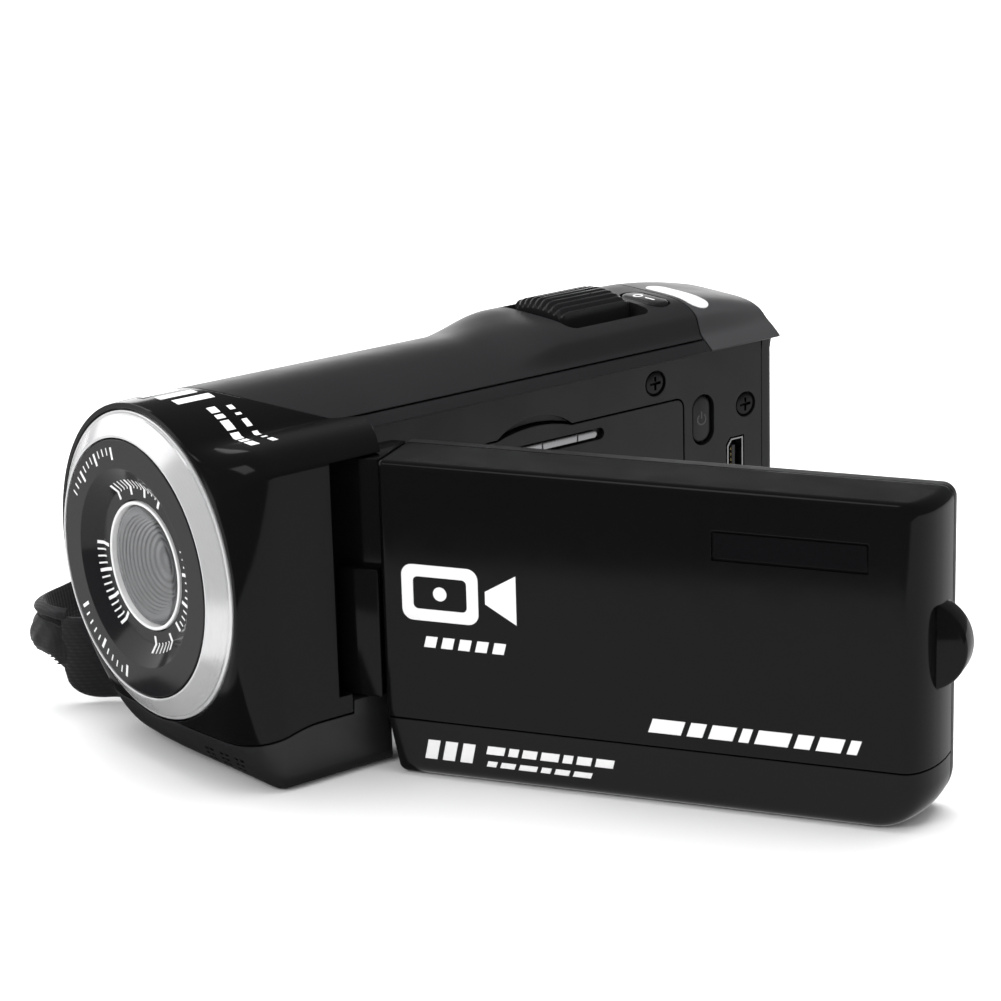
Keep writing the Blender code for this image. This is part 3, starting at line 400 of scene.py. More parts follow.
def woven(nodes, normal):
    """Ribs of a nylon band, upright, crossed by its fine weft."""
    nodes.shader.inputs["Sheen Weight"].default_value = 0.15
    nodes.shader.inputs["Sheen Roughness"].default_value = 0.4
    weft = nodes.bump(nodes.waves(0.55, direction="Z"), 0.08, normal)
    return nodes.bump(nodes.waves(0.9, direction="DIAGONAL"), 0.05, weft)


def pad_cloth(nodes, normal):
    nodes.shader.inputs["Sheen Weight"].default_value = 0.12
    nodes.shader.inputs["Sheen Roughness"].default_value = 0.45
    weave = nodes.bump(nodes.waves(0.6, direction="Z"), 0.04, normal)
    return nodes.bump(nodes.waves(0.6, direction="Y"), 0.04, weave)


EXTRAS = {"silver": turned_metal, "webbing": woven, "pad": pad_cloth, "pad_lining": pad_cloth}


def lens_glass_look():
    made = bpy.data.materials.new("look_lens_glass")
    made.use_nodes = True
    nodes = Nodes(made)
    nodes.shader.inputs["Transmission Weight"].default_value = 1.0
    nodes.shader.inputs["IOR"].default_value = 1.3
    nodes.shader.inputs["Base Color"].default_value = (0.95, 0.96, 0.97, 1)
    nodes.link(nodes.between(nodes.noise(3.0), 0.0, 0.02), nodes.shader.inputs["Roughness"])
    return made


# --- Pieces ----------------------------------------------------------------------------------------


def piece(name, bm, finish, node=None, body=None, sharp=32.0, weighted=False, turn=None):
    """A piece drawn in millimetres. It rides with a CAD node that it stands for, or with a body."""
    bmesh.ops.recalc_face_normals(bm, faces=bm.faces)
    if turn:
        bmesh.ops.transform(bm, matrix=turn, verts=bm.verts)
    bmesh.ops.scale(bm, verts=bm.verts, vec=(MM, MM, MM))
    mesh = bpy.data.meshes.new(name)
    bm.to_mesh(mesh)
    bm.free()
    mesh.shade_smooth()
    mesh.set_sharp_from_angle(angle=math.radians(sharp))
    made = bpy.data.objects.new(name, mesh)
    bpy.context.scene.collection.objects.link(made)
    material = finish if isinstance(finish, bpy.types.Material) else look(finish)
    mesh.materials.append(material)
    if weighted:
        made.modifiers.new("flat_faces", "WEIGHTED_NORMAL").keep_sharp = True
    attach(made, body or frame["nodes"][node]["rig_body"])
    if node:
        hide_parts(node)
    return made


# --- Solids in millimetres -------------------------------------------------------------------------


def loft(rings, closed=False):
    """A solid through rings of equally many points; a closed one joins its last ring to its first."""
    bm = bmesh.new()
    rows = [[bm.verts.new(point) for point in ring] for ring in rings]
    count = len(rows[0])
    pairs = list(zip(rows, rows[1:] + rows[:1])) if closed else list(zip(rows, rows[1:]))
    for first, second in pairs:
        for i in range(count):
            j = (i + 1) % count
            bm.faces.new((first[i], first[j], second[j], second[i]))
    if not closed:
        bm.faces.new(rows[0])
        bm.faces.new(rows[-1][::-1])
    return bm


def along(axis, flat, level):
    """A point from a flat outline and its level along X, Y or Z."""
    a, b = flat
    return {"X": (level, a, b), "Y": (a, level, b), "Z": (a, b, level)}[axis]


def prism(axis, outline, low, high):
    return loft([[along(axis, p, level) for p in outline] for level in (low, high)])


def soft_prism(axis, outline, low, high, edge, steps=3, both=False):
    """A prism whose high end is rounded over, and its low end too if asked; outline anticlockwise."""
    rings = [(low, 0.0)]
    if both:
        rings = [(low + edge * (1 - math.cos(a)), edge * (1 - math.sin(a))) for a in quarter(steps)]
    top = [(high - edge * (1 - math.cos(a)), edge * (1 - math.sin(a))) for a in quarter(steps)[::-1]]
    rings += top
    return loft([[along(axis, p, level) for p in inset(outline, d)] for level, d in rings])


def quarter(steps):
    """Angles in radians from 0 to a right angle."""
    return [math.pi / 2 * i / steps for i in range(steps + 1)]


def rectangle(low, high):
    (x0, y0), (x1, y1) = low, high
    return [(x0, y0), (x1, y0), (x1, y1), (x0, y1)]


def box(low, high):
    return prism("Z", rectangle(low[:2], high[:2]), low[2], high[2])


def arc(centre, radius, start, end, steps):
    """Points on an arc, angles in degrees, both ends included."""
    cx, cy = centre
    angles = [math.radians(start + (end - start) * i / steps) for i in range(steps + 1)]
    return [(cx + radius * math.cos(a), cy + radius * math.sin(a)) for a in angles]


def circle(centre, radius, steps):
    return arc(centre, radius, 0, 360 - 360 / steps, steps - 1)


def rounded_rectangle(low, high, radii, steps=8):
    """Corner radii run from the low-low corner, anticlockwise."""
    (x0, y0), (x1, y1) = low, high
    corners = ((x0, y0, 1, 1, 180), (x1, y0, -1, 1, 270), (x1, y1, -1, -1, 0), (x0, y1, 1, -1, 90))
    points = []
    for (x, y, sx, sy, start), radius in zip(corners, radii):
        points += arc((x + sx * radius, y + sy * radius), radius, start, start + 90, steps)
    return points


def stadium(centre, long_half, short_half, steps=16):
    """A slot outline, long along its first direction."""
    cx, cy = centre
    reach = long_half - short_half
    right = arc((cx + reach, cy), short_half, -90, 90, steps)
    return right + arc((cx - reach, cy), short_half, 90, 270, steps)


def upright(points, centre):
    """An outline about the origin turned a quarter and moved to a centre."""
    return [(centre[0] - b, centre[1] + a) for a, b in points]


def turned(axis, centre, profile, steps=96):
    """A profile of (radius, level) points turned about an axis; a radius of 0 ends on the axis."""
    bm = bmesh.new()
    rows = []
    for radius, level in profile:
        if radius == 0:
            rows.append([bm.verts.new(along(axis, centre, level))])
        else:
            rows.append([bm.verts.new(along(axis, p, level)) for p in circle(centre, radius, steps)])
    closed = profile[0][0] != 0
    pairs = list(zip(rows, rows[1:] + rows[:1])) if closed else list(zip(rows, rows[1:]))
    for first, second in pairs:
        for i in range(steps):
            j = (i + 1) % steps
            if len(first) == 1:
                bm.faces.new((first[0], second[i], second[j]))
            elif len(second) == 1:
                bm.faces.new((first[i], second[0], first[j]))
            else:
                bm.faces.new((first[i], second[i], second[j], first[j]))
    return bm


def rod(axis, centre, radius, low, high, steps=48):
    return turned(axis, centre, [(0, low), (radius, low), (radius, high), (0, high)], steps)


def inset(points, distance):
    """The outline moved inwards; its points run anticlockwise."""
    if not distance:
        return list(points)
    count = len(points)
    moved = []
    for i in range(count):
        before, here, after = (Vector(points[k % count]) for k in (i - 1, i, i + 1))
        first, second = (here - before).normalized(), (after - here).normalized()
        normal = Vector((-first.y - second.y, first.x + second.x)).normalized()
        shrink = max(normal.dot(Vector((-first.y, first.x))), 0.5)
        moved.append(tuple(here + normal * distance / shrink))
    return moved


def curve_through(knots, steps=6):
    """A smooth line through points in a plane."""
    points = [Vector(k) for k in knots]
    points = [2 * points[0] - points[1]] + points + [2 * points[-1] - points[-2]]
    route = []
    for a, b, c, d in zip(points, points[1:], points[2:], points[3:]):
        for i in range(steps):
            t = i / steps
            route.append(0.5 * (2 * b + (c - a) * t + (2 * a - 5 * b + 4 * c - d) * t**2
                                + (3 * b - a - 3 * c + d) * t**3))
    return route + [points[-2]]


def helper_object(bm):
    bmesh.ops.recalc_face_normals(bm, faces=bm.faces)
    mesh = bpy.data.meshes.new("helper")
    bm.to_mesh(mesh)
    bm.free()
    made = bpy.data.objects.new("helper", mesh)
    bpy.context.scene.collection.objects.link(made)
    return made


def boolean(solid, operation, *others):
    """Booleans of closed solids, one after another, as a new solid."""
    made = helper_object(solid)
    tools = [helper_object(other) for other in others]
    for tool in tools:
        step = made.modifiers.new("step", "BOOLEAN")
        step.operation = operation
        step.solver = "MANIFOLD"
        step.object = tool
    result = bmesh.new()
    result.from_object(made, bpy.context.evaluated_depsgraph_get())
    bmesh.ops.remove_doubles(result, verts=result.verts, dist=0.002)
    for item in (*tools, made):
        bpy.data.objects.remove(item, do_unlink=True)
    return result


def cut(solid, *others):
    return boolean(solid, "DIFFERENCE", *others)


def union(solid, *others):
    return boolean(solid, "UNION", *others)


def common(solid, *others):
    return boolean(solid, "INTERSECT", *others)


# --- Body sections: outlines across the lens axis, at one place along it ---------------------------


def smooth(value):
    t = min(max(value, 0.0), 1.0)
    return t * t * (3 - 2 * t)


def grip_curve(steps=32):
    """From the flat foot round the strap side up to the height of the lens axis."""
    points = []
    for i in range(steps + 1):
        a = math.radians(90 * i / steps)
        x = FOOT_X - (BARREL_R + FOOT_X) * math.sin(a)
        points.append((x, LENS_Z - LENS_Z * math.cos(a)))
    return points


def front_section():
    """The lens housing and the pillar: round on the strap side, square with a shelf on the other."""
    arc_end = math.degrees(math.acos((SHELF_Z - LENS_Z) / BARREL_R))
    shelf_in = math.sqrt(BARREL_R**2 - (SHELF_Z - LENS_Z) ** 2)
    points = arc((SIDE_X - FOOT_R, FOOT_R), FOOT_R, -90, 0, 8)
    points += [(SIDE_X, z) for z in (8.0, 14.0, 20.0, 26.0, 32.0, 38.0)]
    wide, fall, corner = SHOULDER
    run = wide - corner * (1 - SHOULDER_LEAN)
    tip = SHELF_Z - fall - corner * math.sqrt(1 - SHOULDER_LEAN**2)
    points += arc((SIDE_X - corner, tip), corner, 0, math.degrees(math.acos(SHOULDER_LEAN)), 6)[:-1]
    points += [(SIDE_X - wide + run * t / 10, SHELF_Z - fall * (t / 10) ** 3) for t in range(10, -1, -1)]
    points += [((shelf_in + SIDE_X - wide) / 2, SHELF_Z)]
    points += arc((0, LENS_Z), BARREL_R, 90 - arc_end, 180, 56)
    points += grip_curve()[::-1][1:]
    points += [(-2.5, 0.0), (2.5, 0.0), (7.5, 0.0), (12.5, 0.0), (17.5, 0.0)]
    return points


def housing_growth(y):
    """How far the round front has spread to the full section, from 0 to 1."""
    t = min(max((y - LAND_Y) / GROWTH_LENGTH, 0.0), 1.0)
    return (1 - (1 - t) ** GROWTH_POWER) ** (1 / GROWTH_POWER)


def front_ring(y, distance=0.0):
    """One section of the housing, moved inwards by a distance."""
    ring = []
    for x, z in inset(front_section(), distance):
        reach = math.hypot(x, z - LENS_Z)
        land = LAND_R - distance
        scale = (land + (reach - land) * housing_growth(y)) / reach
        ring.append((x * scale, y, LENS_Z + (z - LENS_Z) * scale))
    return ring


def platform_height(y):
    return PLATFORM_HEIGHT - PLATFORM_FALL * (max(y - PLATFORM_FALL_Y, 0) / PLATFORM_FALL_RUN) ** 2


def top_radius(angle, y):
    """Distance of the top from the lens axis, at an angle in degrees from +X."""
    rise = smooth((y - PLATFORM_START_Y) / (PLATFORM_FULL_Y - PLATFORM_START_Y))
    a = math.radians(angle)
    across = abs(math.cos(a) / PLATFORM_HALF_WIDTH) ** PLATFORM_POWER
    upright_part = abs(math.sin(a) / platform_height(y)) ** PLATFORM_POWER
    platform = (across + upright_part) ** (-1 / PLATFORM_POWER)
    (near, near_run), (far, far_run) = PLATFORM_EDGES
    share = smooth((angle - near) / near_run) * (1 - smooth((angle - far) / far_run))
    return BARREL_R + rise * share * (platform - BARREL_R)


TOP_ANGLES = [53 + 0.8 * i for i in range(30)] + [77 + 2.0 * i for i in range(52)]


def top_curve(y, angles, distance=0.0):
    points = []
    for angle in angles:
        reach = top_radius(angle, y) - distance
        a = math.radians(angle)
        points.append((reach * math.cos(a), LENS_Z + reach * math.sin(a)))
    return points


def rear_section(y):
    """Behind the pillar: a flat wall for the closed screen, under an overhanging strip."""
    strip_angle = math.degrees(math.acos(STRIP_X / BARREL_R))
    points = [(WALL_X, 0.0), (WALL_X, 10.0), (WALL_X, 20.0), (WALL_X, 32.0), (WALL_X, 44.6)]
    points += arc((WALL_X + 1.2, 44.6), 1.2, 180, 90, 6)[1:] + [(STRIP_X - 0.9, 45.8)]
    points += [(STRIP_X - 0.4, 45.85)]
    points += top_curve(y, [strip_angle + 0.3, 51.0] + TOP_ANGLES)
    return points + grip_curve()[::-1][1:] + [(-2.5, 0.0), (2.5, 0.0), (7.5, 0.0)]


def rear_ring(y):
    return [(x, y, z) for x, z in rear_section(y)]


def hollow_ring(y, thick=WALL):
    """One section of the space inside the rear casings, whose walls are this thick."""
    points = [(WALL_X - thick, thick), (WALL_X - thick, 20.0), (WALL_X - thick, 43.0)]
    points += top_curve(y, [a for a in TOP_ANGLES if a > 60], thick)
    points += [p for p in inset(rear_section(y), thick) if p[0] < FOOT_X and p[1] < LENS_Z - 0.5]
    return [(x, y, z) for x, z in points]


REAR_STATIONS = [-43.0] + [0.5 * i for i in range(2, 33)] + [22.0, 30.0]
REAR_STATIONS += [36.0 + 0.8 * i for i in range(20)]


def rear_solid(rear_y=REAR_Y):
    return loft([rear_ring(y) for y in REAR_STATIONS + [rear_y]])


def rear_hollow(rear_y=REAR_Y + 1.0):
    return loft([hollow_ring(y) for y in [-44.0] + REAR_STATIONS[1:] + [rear_y]])


def front_solid(rear_y=-24.0):
    steps = 22
    stations = [LAND_Y + GROWTH_LENGTH * (i / steps) ** 1.5 for i in range(steps + 1)] + [rear_y]
    return loft([front_ring(y) for y in stations])


def front_hollow():
    return loft([front_ring(y, WALL) for y in (-49.0, -48.2, -47.4, -46.3, -45.2, -23.0)])


def housing_edge(offset=0.0):
    """The rear edge of the lens housing in plan, from the strap side to the shelf's corner."""
    knots = [(-30.0, -42.0), (-12.0, -42.0), (-6.0, -41.8), (-1.0, -41.0), (3.0, -39.6)]
    knots += [(6.5, -37.2), (9.3, -34.2), (11.6, -30.9), (13.4, -27.7), (14.7, -25.1)]
    knots += [(15.6, -24.5), (17.2, -25.2), (SIDE_X + 0.5, -28.4)]
    return [(p.x, p.y + offset) for p in curve_through(knots, 5)]


def beside_edge(toward_y, low, high, offset=0.0):
    """A prism over everything on one side of the housing's rear edge."""
    points = housing_edge(offset)
    return prism("Z", points + [(40.0, points[-1][1]), (40.0, toward_y), (-30.0, toward_y)], low, high)


def pillar_clearance(low, high, inner_x=9.2, rear_y=-20.0):
    """Everything behind the pillar that carries the screen's hinge."""
    points = [(inner_x, PILLAR_REAR_Y)]
    points += arc((23.1, PILLAR_REAR_Y - 1.0), 1.0, 90, 0, 6)
    points += [(30.0, PILLAR_REAR_Y - 1.0), (30.0, rear_y)]
    return prism("Z", points + [(inner_x, rear_y)], low, high)


# --- Casings ---------------------------------------------------------------------------------------


def front_cavity():
    """The space behind the lens, stopping at the wall in front of the hinge bay."""
    return common(front_hollow(), box((-40, -60, -5), (40, BAY_FRONT_Y - WALL, 80)))


def seam_line(offset):
    """The seam between the housing and the base, seen from the side: a slow rise along the front."""
    points = [(-60, SEAM_FOOT_Z + offset)]
    for i in range(13):
        points.append((-52 + i, SEAM_FOOT_Z + (SEAM_SIDE_Z - SEAM_FOOT_Z) * smooth(i / 12) + offset))
    return points


def front_housing():
    seam = seam_line(HALF_GAP) + [(-20, SEAM_SIDE_Z + HALF_GAP), (-20, 80), (-60, 80)]
    keep_x, keep_y = WALL_X - WALL, BAY_FRONT_Y - WALL
    roof = [(-19.0, 30.0), (keep_x, 30.0), (keep_x, SHELF_Z - WALL - 0.9)]
    roof += arc((0, LENS_Z), BARREL_R - WALL, 60, 172, 24)
    shell = cut(
        common(front_solid(), prism("X", seam, -40, 40)),
        front_cavity(),
        box((-22.5, keep_y - 1.0, 3.0), (keep_x, -23.0, 44.0)),
        prism("Y", roof, keep_y - 1.0, -23.0),
        beside_edge(60.0, -5, 80),
        box((9.2, BAY_FRONT_Y, LEDGE_Z), (40, 0, LIP_Z)),
        box((9.2, BAY_STEP_Y, -5), (40, 0, LIP_Z)),
        pillar_clearance(-5, SHELF_UNDERSIDE_Z),
        rod("Y", (0, LENS_Z), DISC_R + 0.4, -60, -45, 96),
        rod("Y", (0, LENS_Z), RING_R + GAP, -60, LAND_Y + 1.2, 96),
        rod("Z", (SWING.x, SWING.y), PIN_BORE_R, 40, PIN_BORE_TOP_Z),
    )
    piece("housing_shell", shell, "gloss_black", "front_housing")


def screw_bores(axis, places, head, shank, steps):
    """Bores for screws: a wide one for each head and a narrow one for its shank, from low to high."""
    bores = []
    for place in places:
        bores.append(rod(axis, place, SCREW_HEAD_R + 0.25, *head, steps))
        bores.append(rod(axis, place, SCREW_SHANK_R + 0.2, *shank, 24))
    return bores


def base_cover():
    seam_front, seam_side = SEAM_FOOT_Z - HALF_GAP, SEAM_SIDE_Z - HALF_GAP
    side = [(-60, -5), (70, -5), (70, seam_front), (PILLAR_REAR_Y + 0.2, seam_front)]
    side += [(PILLAR_REAR_Y + 0.1, PILLAR_TOP_Z), (BAY_STEP_Y + 0.3, PILLAR_TOP_Z)]
    side += [(BAY_STEP_Y + 0.2, seam_side)] + seam_line(-HALF_GAP)[::-1]
    openings = [
        pillar_clearance(-5, 80, WALL_X, 60.0),
        box((-40, -41.9, seam_front), (9.0, 60, 80)),
        front_cavity(),
        grip_tray(BAY_FRONT_Y - WALL - 1.0, REAR_Y + 1.0),
        box((WALL_X - WALL - 0.4, PILLAR_REAR_Y, WALL), (14, 60, 20)),
        rod("Y", (0, LENS_Z), RING_R + GAP + 0.1, -60, -48.3, 96),
        rod("Z", (SWING.x, SWING.y), PIN_BORE_R, PILLAR_TOP_Z - 3.2, 20),
        rod("Z", TRIPOD_PLACE, TRIPOD_BUSH_R + GAP, -5, 5, 48),
    ]
    openings += screw_bores("Z", BASE_SCREWS, (-1, 1.0), (-1, 5), 32)
    shell = cut(common(front_solid(REAR_Y), prism("X", side, -40, 40)), *openings, *microphone_slots())
    piece("base_shell", shell, "satin_black", "base_cover")


def grip_tray(low, high):
    outline = [(WALL_X - WALL, WALL), (WALL_X - WALL, 20.0), (-12.0, 20.0)]
    outline += [p for p in inset(rear_section(-30.0), WALL) if p[0] < FOOT_X and p[1] < 20.0]
    return prism("Y", outline + [(FOOT_X, WALL)], low, high)


def microphone_slots():
    """Three groups of short slots through the sloping front of the base, in rows of two."""
    slots = []
    for group in range(3):
        for row in range(3):
            z = SLOT_START[1] + SLOT_STEP[1] * row
            x = SLOT_START[0] + SLOT_STEP[0] * group + SLOT_SHIFT * row
            for start in (x, x + SLOT_PAIR):
                slots.append(box((start, -54, z - 0.24), (start + SLOT_LONG, -43.3, z + 0.24)))
    return slots


def lever_well(shrink=0.0):
    low = (-WELL_HALF_X + shrink, WELL_FRONT_Y + shrink)
    high = (WELL_HALF_X - shrink, WELL_REAR_Y - shrink)
    return rounded_rectangle(low, high, (1.5 - shrink / 2,) * 4, 6)


def above_seams(side_z):
    """Everything above the top's seams across the body: high on the screen side, lower on the grip's."""
    grip_z = SEAM_GRIP_Z + HALF_GAP
    return [(40, side_z), (40, 80), (-40, 80), (-40, grip_z), (-5, grip_z), (6, side_z)]


def top_cover():
    region = above_seams(SEAM_TOP_Z + 0.1)
    tray = box((-WELL_HALF_X - 1.2, WELL_FRONT_Y - 1.2, WELL_FLOOR_Z - 1.2),
               (WELL_HALF_X + 1.2, WELL_REAR_Y + 1.2, 60))
    shell = cut(
        common(rear_solid(), prism("Y", region, -60, CAP_Y - HALF_GAP)),
        cut(rear_hollow(), tray),
        prism("Z", lever_well(), WELL_FLOOR_Z, 60),
        beside_edge(-60.0, -5, 80, GAP),
        prism("Z", stadium(PHOTO_PLACE, 4.8, 2.2), 40, 60),
        box((-4.6, 22.4, 40), (4.6, 27.6, 60)),
    )
    piece("top_shell", shell, "satin_black", "top_cover")


def rear_top_cap():
    """The rear of the top, closed at its end over the rear cover."""
    region = above_seams(STRIP_UNDER_Z + GAP)
    shell = common(rear_solid(CAP_REAR_Y), prism("Y", region, CAP_Y + HALF_GAP, 60))
    # The cap takes the lighter copy of the satin black, a painted sheen
    piece("rear_cap_shell", cut(shell, rear_hollow(CAP_REAR_Y - WALL)), "cap_painted_sheen", "rear_top_cap")


def scoop(radius, centre_z, low):
    """An arched segment above a level, for the finger notch over the battery door."""
    half = math.degrees(math.asin((low - centre_z) / radius))
    return arc((SCOOP_Y, centre_z), radius, half, 180 - half, 48)


def door_pin_bore(reach):
    """The bore of the door's hinge pin, reaching past both of its ends."""
    return rod("Y", DOOR_AXIS, DOOR_PIN_BORE_R, DOOR_FRONT_Y - reach, DOOR_REAR_Y + reach, 12)


def door_outline(gap=0.0):
    low = (DOOR_FRONT_Y + gap, DOOR_BOTTOM_Z + gap)
    high = (DOOR_REAR_Y - gap, DOOR_TOP_Z - gap)
    return rounded_rectangle(low, high, (0.3, 0.3, 1.6 - gap, 1.6 - gap))


def left_side_cover():
    """The wall under the closed screen, with the strip that overhangs it."""
    wall = [(BAY_FRONT_Y + GAP, LEDGE_Z + GAP), (BAY_STEP_Y + GAP, LEDGE_Z + GAP)]
    wall += [(BAY_STEP_Y + GAP, PILLAR_TOP_Z + GAP), (PILLAR_REAR_Y + GAP, PILLAR_TOP_Z + GAP)]
    wall += [(PILLAR_REAR_Y + GAP, WALL + 0.35), (REAR_Y, WALL + 0.35), (REAR_Y, STRIP_UNDER_Z)]
    top_z = SEAM_TOP_Z - HALF_GAP
    wall += [(CAP_Y - HALF_GAP, STRIP_UNDER_Z), (CAP_Y - HALF_GAP, top_z), (-24.9, top_z)]
    wall += [(-24.9, LIP_Z - GAP), (BAY_FRONT_Y + GAP, LIP_Z - GAP)]
    openings = [
        rear_hollow(),
        prism("X", door_outline(), 5, 20),
        prism("X", scoop(TONGUE_R, TONGUE_Z, 37.0), 5, 20),
        prism("X", scoop(SCOOP_R, SCOOP_Z, 37.5), WALL_X - 0.9, 20),
        door_pin_bore(1.2),
        prism("X", upright(stadium((0, 0), 4.0, 2.2), POWER_PLACE), 5, 20),
        prism("X", usb_outline(0.25), 5, 20),
    ]
    openings += screw_bores("X", WALL_SCREWS, (WALL_X - 0.85, 20), (5, 20), 40)
    shell = common(rear_solid(), prism("X", wall, WALL_X - WALL - 0.1, 40))
    piece("wall_shell", cut(shell, *openings), "matt_black", "left_side_cover", weighted=True)


def usb_outline(grow=0.0):
    """The small socket's mouth: a rectangle with its two front corners cut."""
    cy, cz = USB_CENTRE
    wide, high, step = 1.6 + grow, 3.5 + grow, 1.0
    return [(cy - wide, cz - high + step), (cy - wide + 0.8, cz - high), (cy + wide, cz - high),
            (cy + wide, cz + high), (cy - wide + 0.8, cz + high), (cy - wide, cz + high - step)]


def right_side_cover():
    region = [(-1, SEAM_FOOT_Z + HALF_GAP), (-1, SEAM_GRIP_Z - HALF_GAP), (-40, SEAM_GRIP_Z - HALF_GAP)]
    region += [(-40, SEAM_FOOT_Z + HALF_GAP)]
    shell = common(rear_solid(), prism("Y", region, -42.0 + GAP, REAR_Y))
    piece("grip_shell", cut(shell, rear_hollow()), "matt_black", "right_side_cover")


def rear_cover():
    """The back: a plate a little proud of the casing, with its edges rounded."""
    rings = [[(x, REAR_Y + GAP, z) for x, _, z in hollow_ring(REAR_Y, 0.2)]]
    for a in quarter(5)[::-1]:
        y = REAR_Y + 2.7 - 1.2 * (1 - math.cos(a))
        rings.append([(x, y, z) for x, _, z in hollow_ring(REAR_Y, 0.2 + 1.2 * (1 - math.sin(a)))])
    grip_z = SEAM_GRIP_Z - HALF_GAP
    region = [(40, -5), (40, STRIP_UNDER_Z), (6.1, STRIP_UNDER_Z), (-4.9, grip_z), (-40, grip_z)]
    plate = cut(
        common(loft(rings), prism("Y", region + [(-40, -5)], 50, 60)),
        rod("Y", RECORD_PLACE, RECORD_R + GAP, 50, 60, 64),
        rod("Y", PLAY_PLACE, PLAY_R + GAP, 50, 60, 48),
        rod("Y", LIGHT_PLACE, LIGHT_R + 0.2, 50, 60, 24),
    )
    piece("rear_plate", plate, "matt_black", "rear_cover", weighted=True)


# --- Lens ------------------------------------------------------------------------------------------


def recess_y(radius):
    """How far back the face of the disc lies, from its flat rim down the cone to the floor."""
    t = min(max((CONE_FRONT_R - radius) / (CONE_FRONT_R - CONE_REAR_R), 0.0), 1.0)
    return FRONT_Y + CONE_DEPTH * t


def lens_ring(centre):
    """The bright ring: a thin outer lip, a slope inwards and forwards, and a flat inner rim."""
    ring = [(RING_R, LAND_Y + 0.9), (RING_R, LAND_Y - 0.05), (RING_R - 0.1, LAND_Y - 0.15)]
    ring += [(RING_R - 0.45, LAND_Y - 0.2), (RING_R - 0.55, LAND_Y - 0.42)]
    slope_r, rim_r = RING_R - 0.6, DISC_R + 0.35
    slope = (FRONT_Y - LAND_Y + 0.45) / (rim_r - slope_r)
    for i in range(7):
        radius = slope_r - (slope_r - rim_r) * i / 6
        ring.append((radius, LAND_Y - 0.45 + slope * (radius - slope_r)))
    ring += [(DISC_R + 0.12, FRONT_Y), (DISC_R + 0.03, FRONT_Y + 0.05), (DISC_R, LAND_Y + 0.9)]
    piece("lens_ring", turned("Y", centre, ring, 192), "silver", "lens_bezel_ring", sharp=24)


def lens_face(centre, floor_y):
    """The black disc with its cone, and the thin white ring round the glass."""
    disc = [(DISC_R - 0.2, LENS_SEAT_Y), (DISC_R - 0.2, FRONT_Y + 0.1), (DISC_R - 0.3, FRONT_Y)]
    disc += [(CONE_FRONT_R + 0.1, FRONT_Y), (CONE_FRONT_R, FRONT_Y + 0.05), (CONE_REAR_R, floor_y)]
    disc += [(TRIM_R + 0.2, floor_y), (TRIM_R + 0.2, LENS_SEAT_Y)]
    piece("lens_disc", turned("Y", centre, disc, 160), "disc_black", "lens_face_disc", sharp=20)
    trim = [(TRIM_R, LENS_SEAT_Y), (TRIM_R, floor_y - 0.2), (TRIM_R - 0.1, floor_y - 0.3)]
    trim += [(GLASS_R + 0.3, floor_y - 0.3), (GLASS_R + 0.2, floor_y - 0.2), (GLASS_R + 0.2, LENS_SEAT_Y)]
    piece("lens_trim", turned("Y", centre, trim, 128), "white_trim", "lens_trim_ring")


def lens():
    centre = (0, LENS_Z)
    floor_y = FRONT_Y + CONE_DEPTH
    lens_ring(centre)
    lens_face(centre, floor_y)
    dome = [(0, floor_y - 0.4)]
    dome += [(GLASS_R * math.sin(a), floor_y + 0.5 - 0.9 * math.cos(a)) for a in quarter(12)[1:]]
    dome += [(GLASS_R, floor_y + 0.7), (0, floor_y + 0.7)]
    glass = piece("lens_glass", turned("Y", centre, dome, 96), lens_glass_look(), "lens_front_glass")
    glass.visible_shadow = False
    lens_funnel(centre, floor_y)
    lens_marks()


def lens_funnel(centre, floor_y):
    """The stepped funnel behind the front glass, narrowing to the iris."""
    front_y, steps = floor_y + 0.75, 18
    depth = (FUNNEL_REAR_Y - front_y) / steps
    profile = [(0, FUNNEL_REAR_Y)]
    for i in range(steps, 0, -1):
        outer = IRIS_R + (TUBE_INNER_R - IRIS_R) * (1 - ((i - 1) / steps) ** 0.9)
        inner = IRIS_R + (TUBE_INNER_R - IRIS_R) * (1 - (i / steps) ** 0.9)
        level = front_y + depth * (i - 1)
        profile += [(inner, level + depth), (inner + 0.06, level + 0.16), (outer, level + 0.05)]
    profile += [(GLASS_R, front_y), (GLASS_R, -50.6), (TUBE_INNER_R, -49.7), (TUBE_INNER_R, -48.0)]
    profile += [(IRIS_R + 0.8, FUNNEL_REAR_Y + 0.5), (0, FUNNEL_REAR_Y + 0.5)]
    piece("lens_funnel", turned("Y", centre, profile, 96), "funnel_grey", body="body", sharp=20)


def tick(inner, outer, angle, width):
    """A printed tick on the lens's face, from one radius to another, following its recess."""
    radii = [inner] + [r for r in (CONE_REAR_R, CONE_FRONT_R) if inner < r < outer] + [outer]
    rings = []
    for radius in radii:
        half = width / radius / 2
        ring = []
        for side, lift in ((-half, 0.01), (half, 0.01), (half, -PRINT), (-half, -PRINT)):
            x, z = radius * math.cos(angle + side), radius * math.sin(angle + side)
            ring.append((x, recess_y(radius) + lift, LENS_Z + z))
        rings.append(ring)
    return loft(rings)


def joined(solids):
    """Separate solids as one mesh."""
    whole = bmesh.new()
    for solid in solids:
        mesh = bpy.data.meshes.new("part")
        solid.to_mesh(mesh)
        solid.free()
        whole.from_mesh(mesh)
        bpy.data.meshes.remove(mesh)
    return whole


def tick_row(inner, outer, start, end, count, strong):
    """A scale of ticks round the lens, angles in degrees; every few are long and strong."""
    ticks = []
    for i in range(count):
        angle = math.radians(start + (end - start) * i / (count - 1))
        main = i % strong == 0
        foot = inner if main else inner + (outer - inner) * 0.4
        ticks.append(tick(foot, outer, angle, 0.5 if main else 0.26))
    return ticks


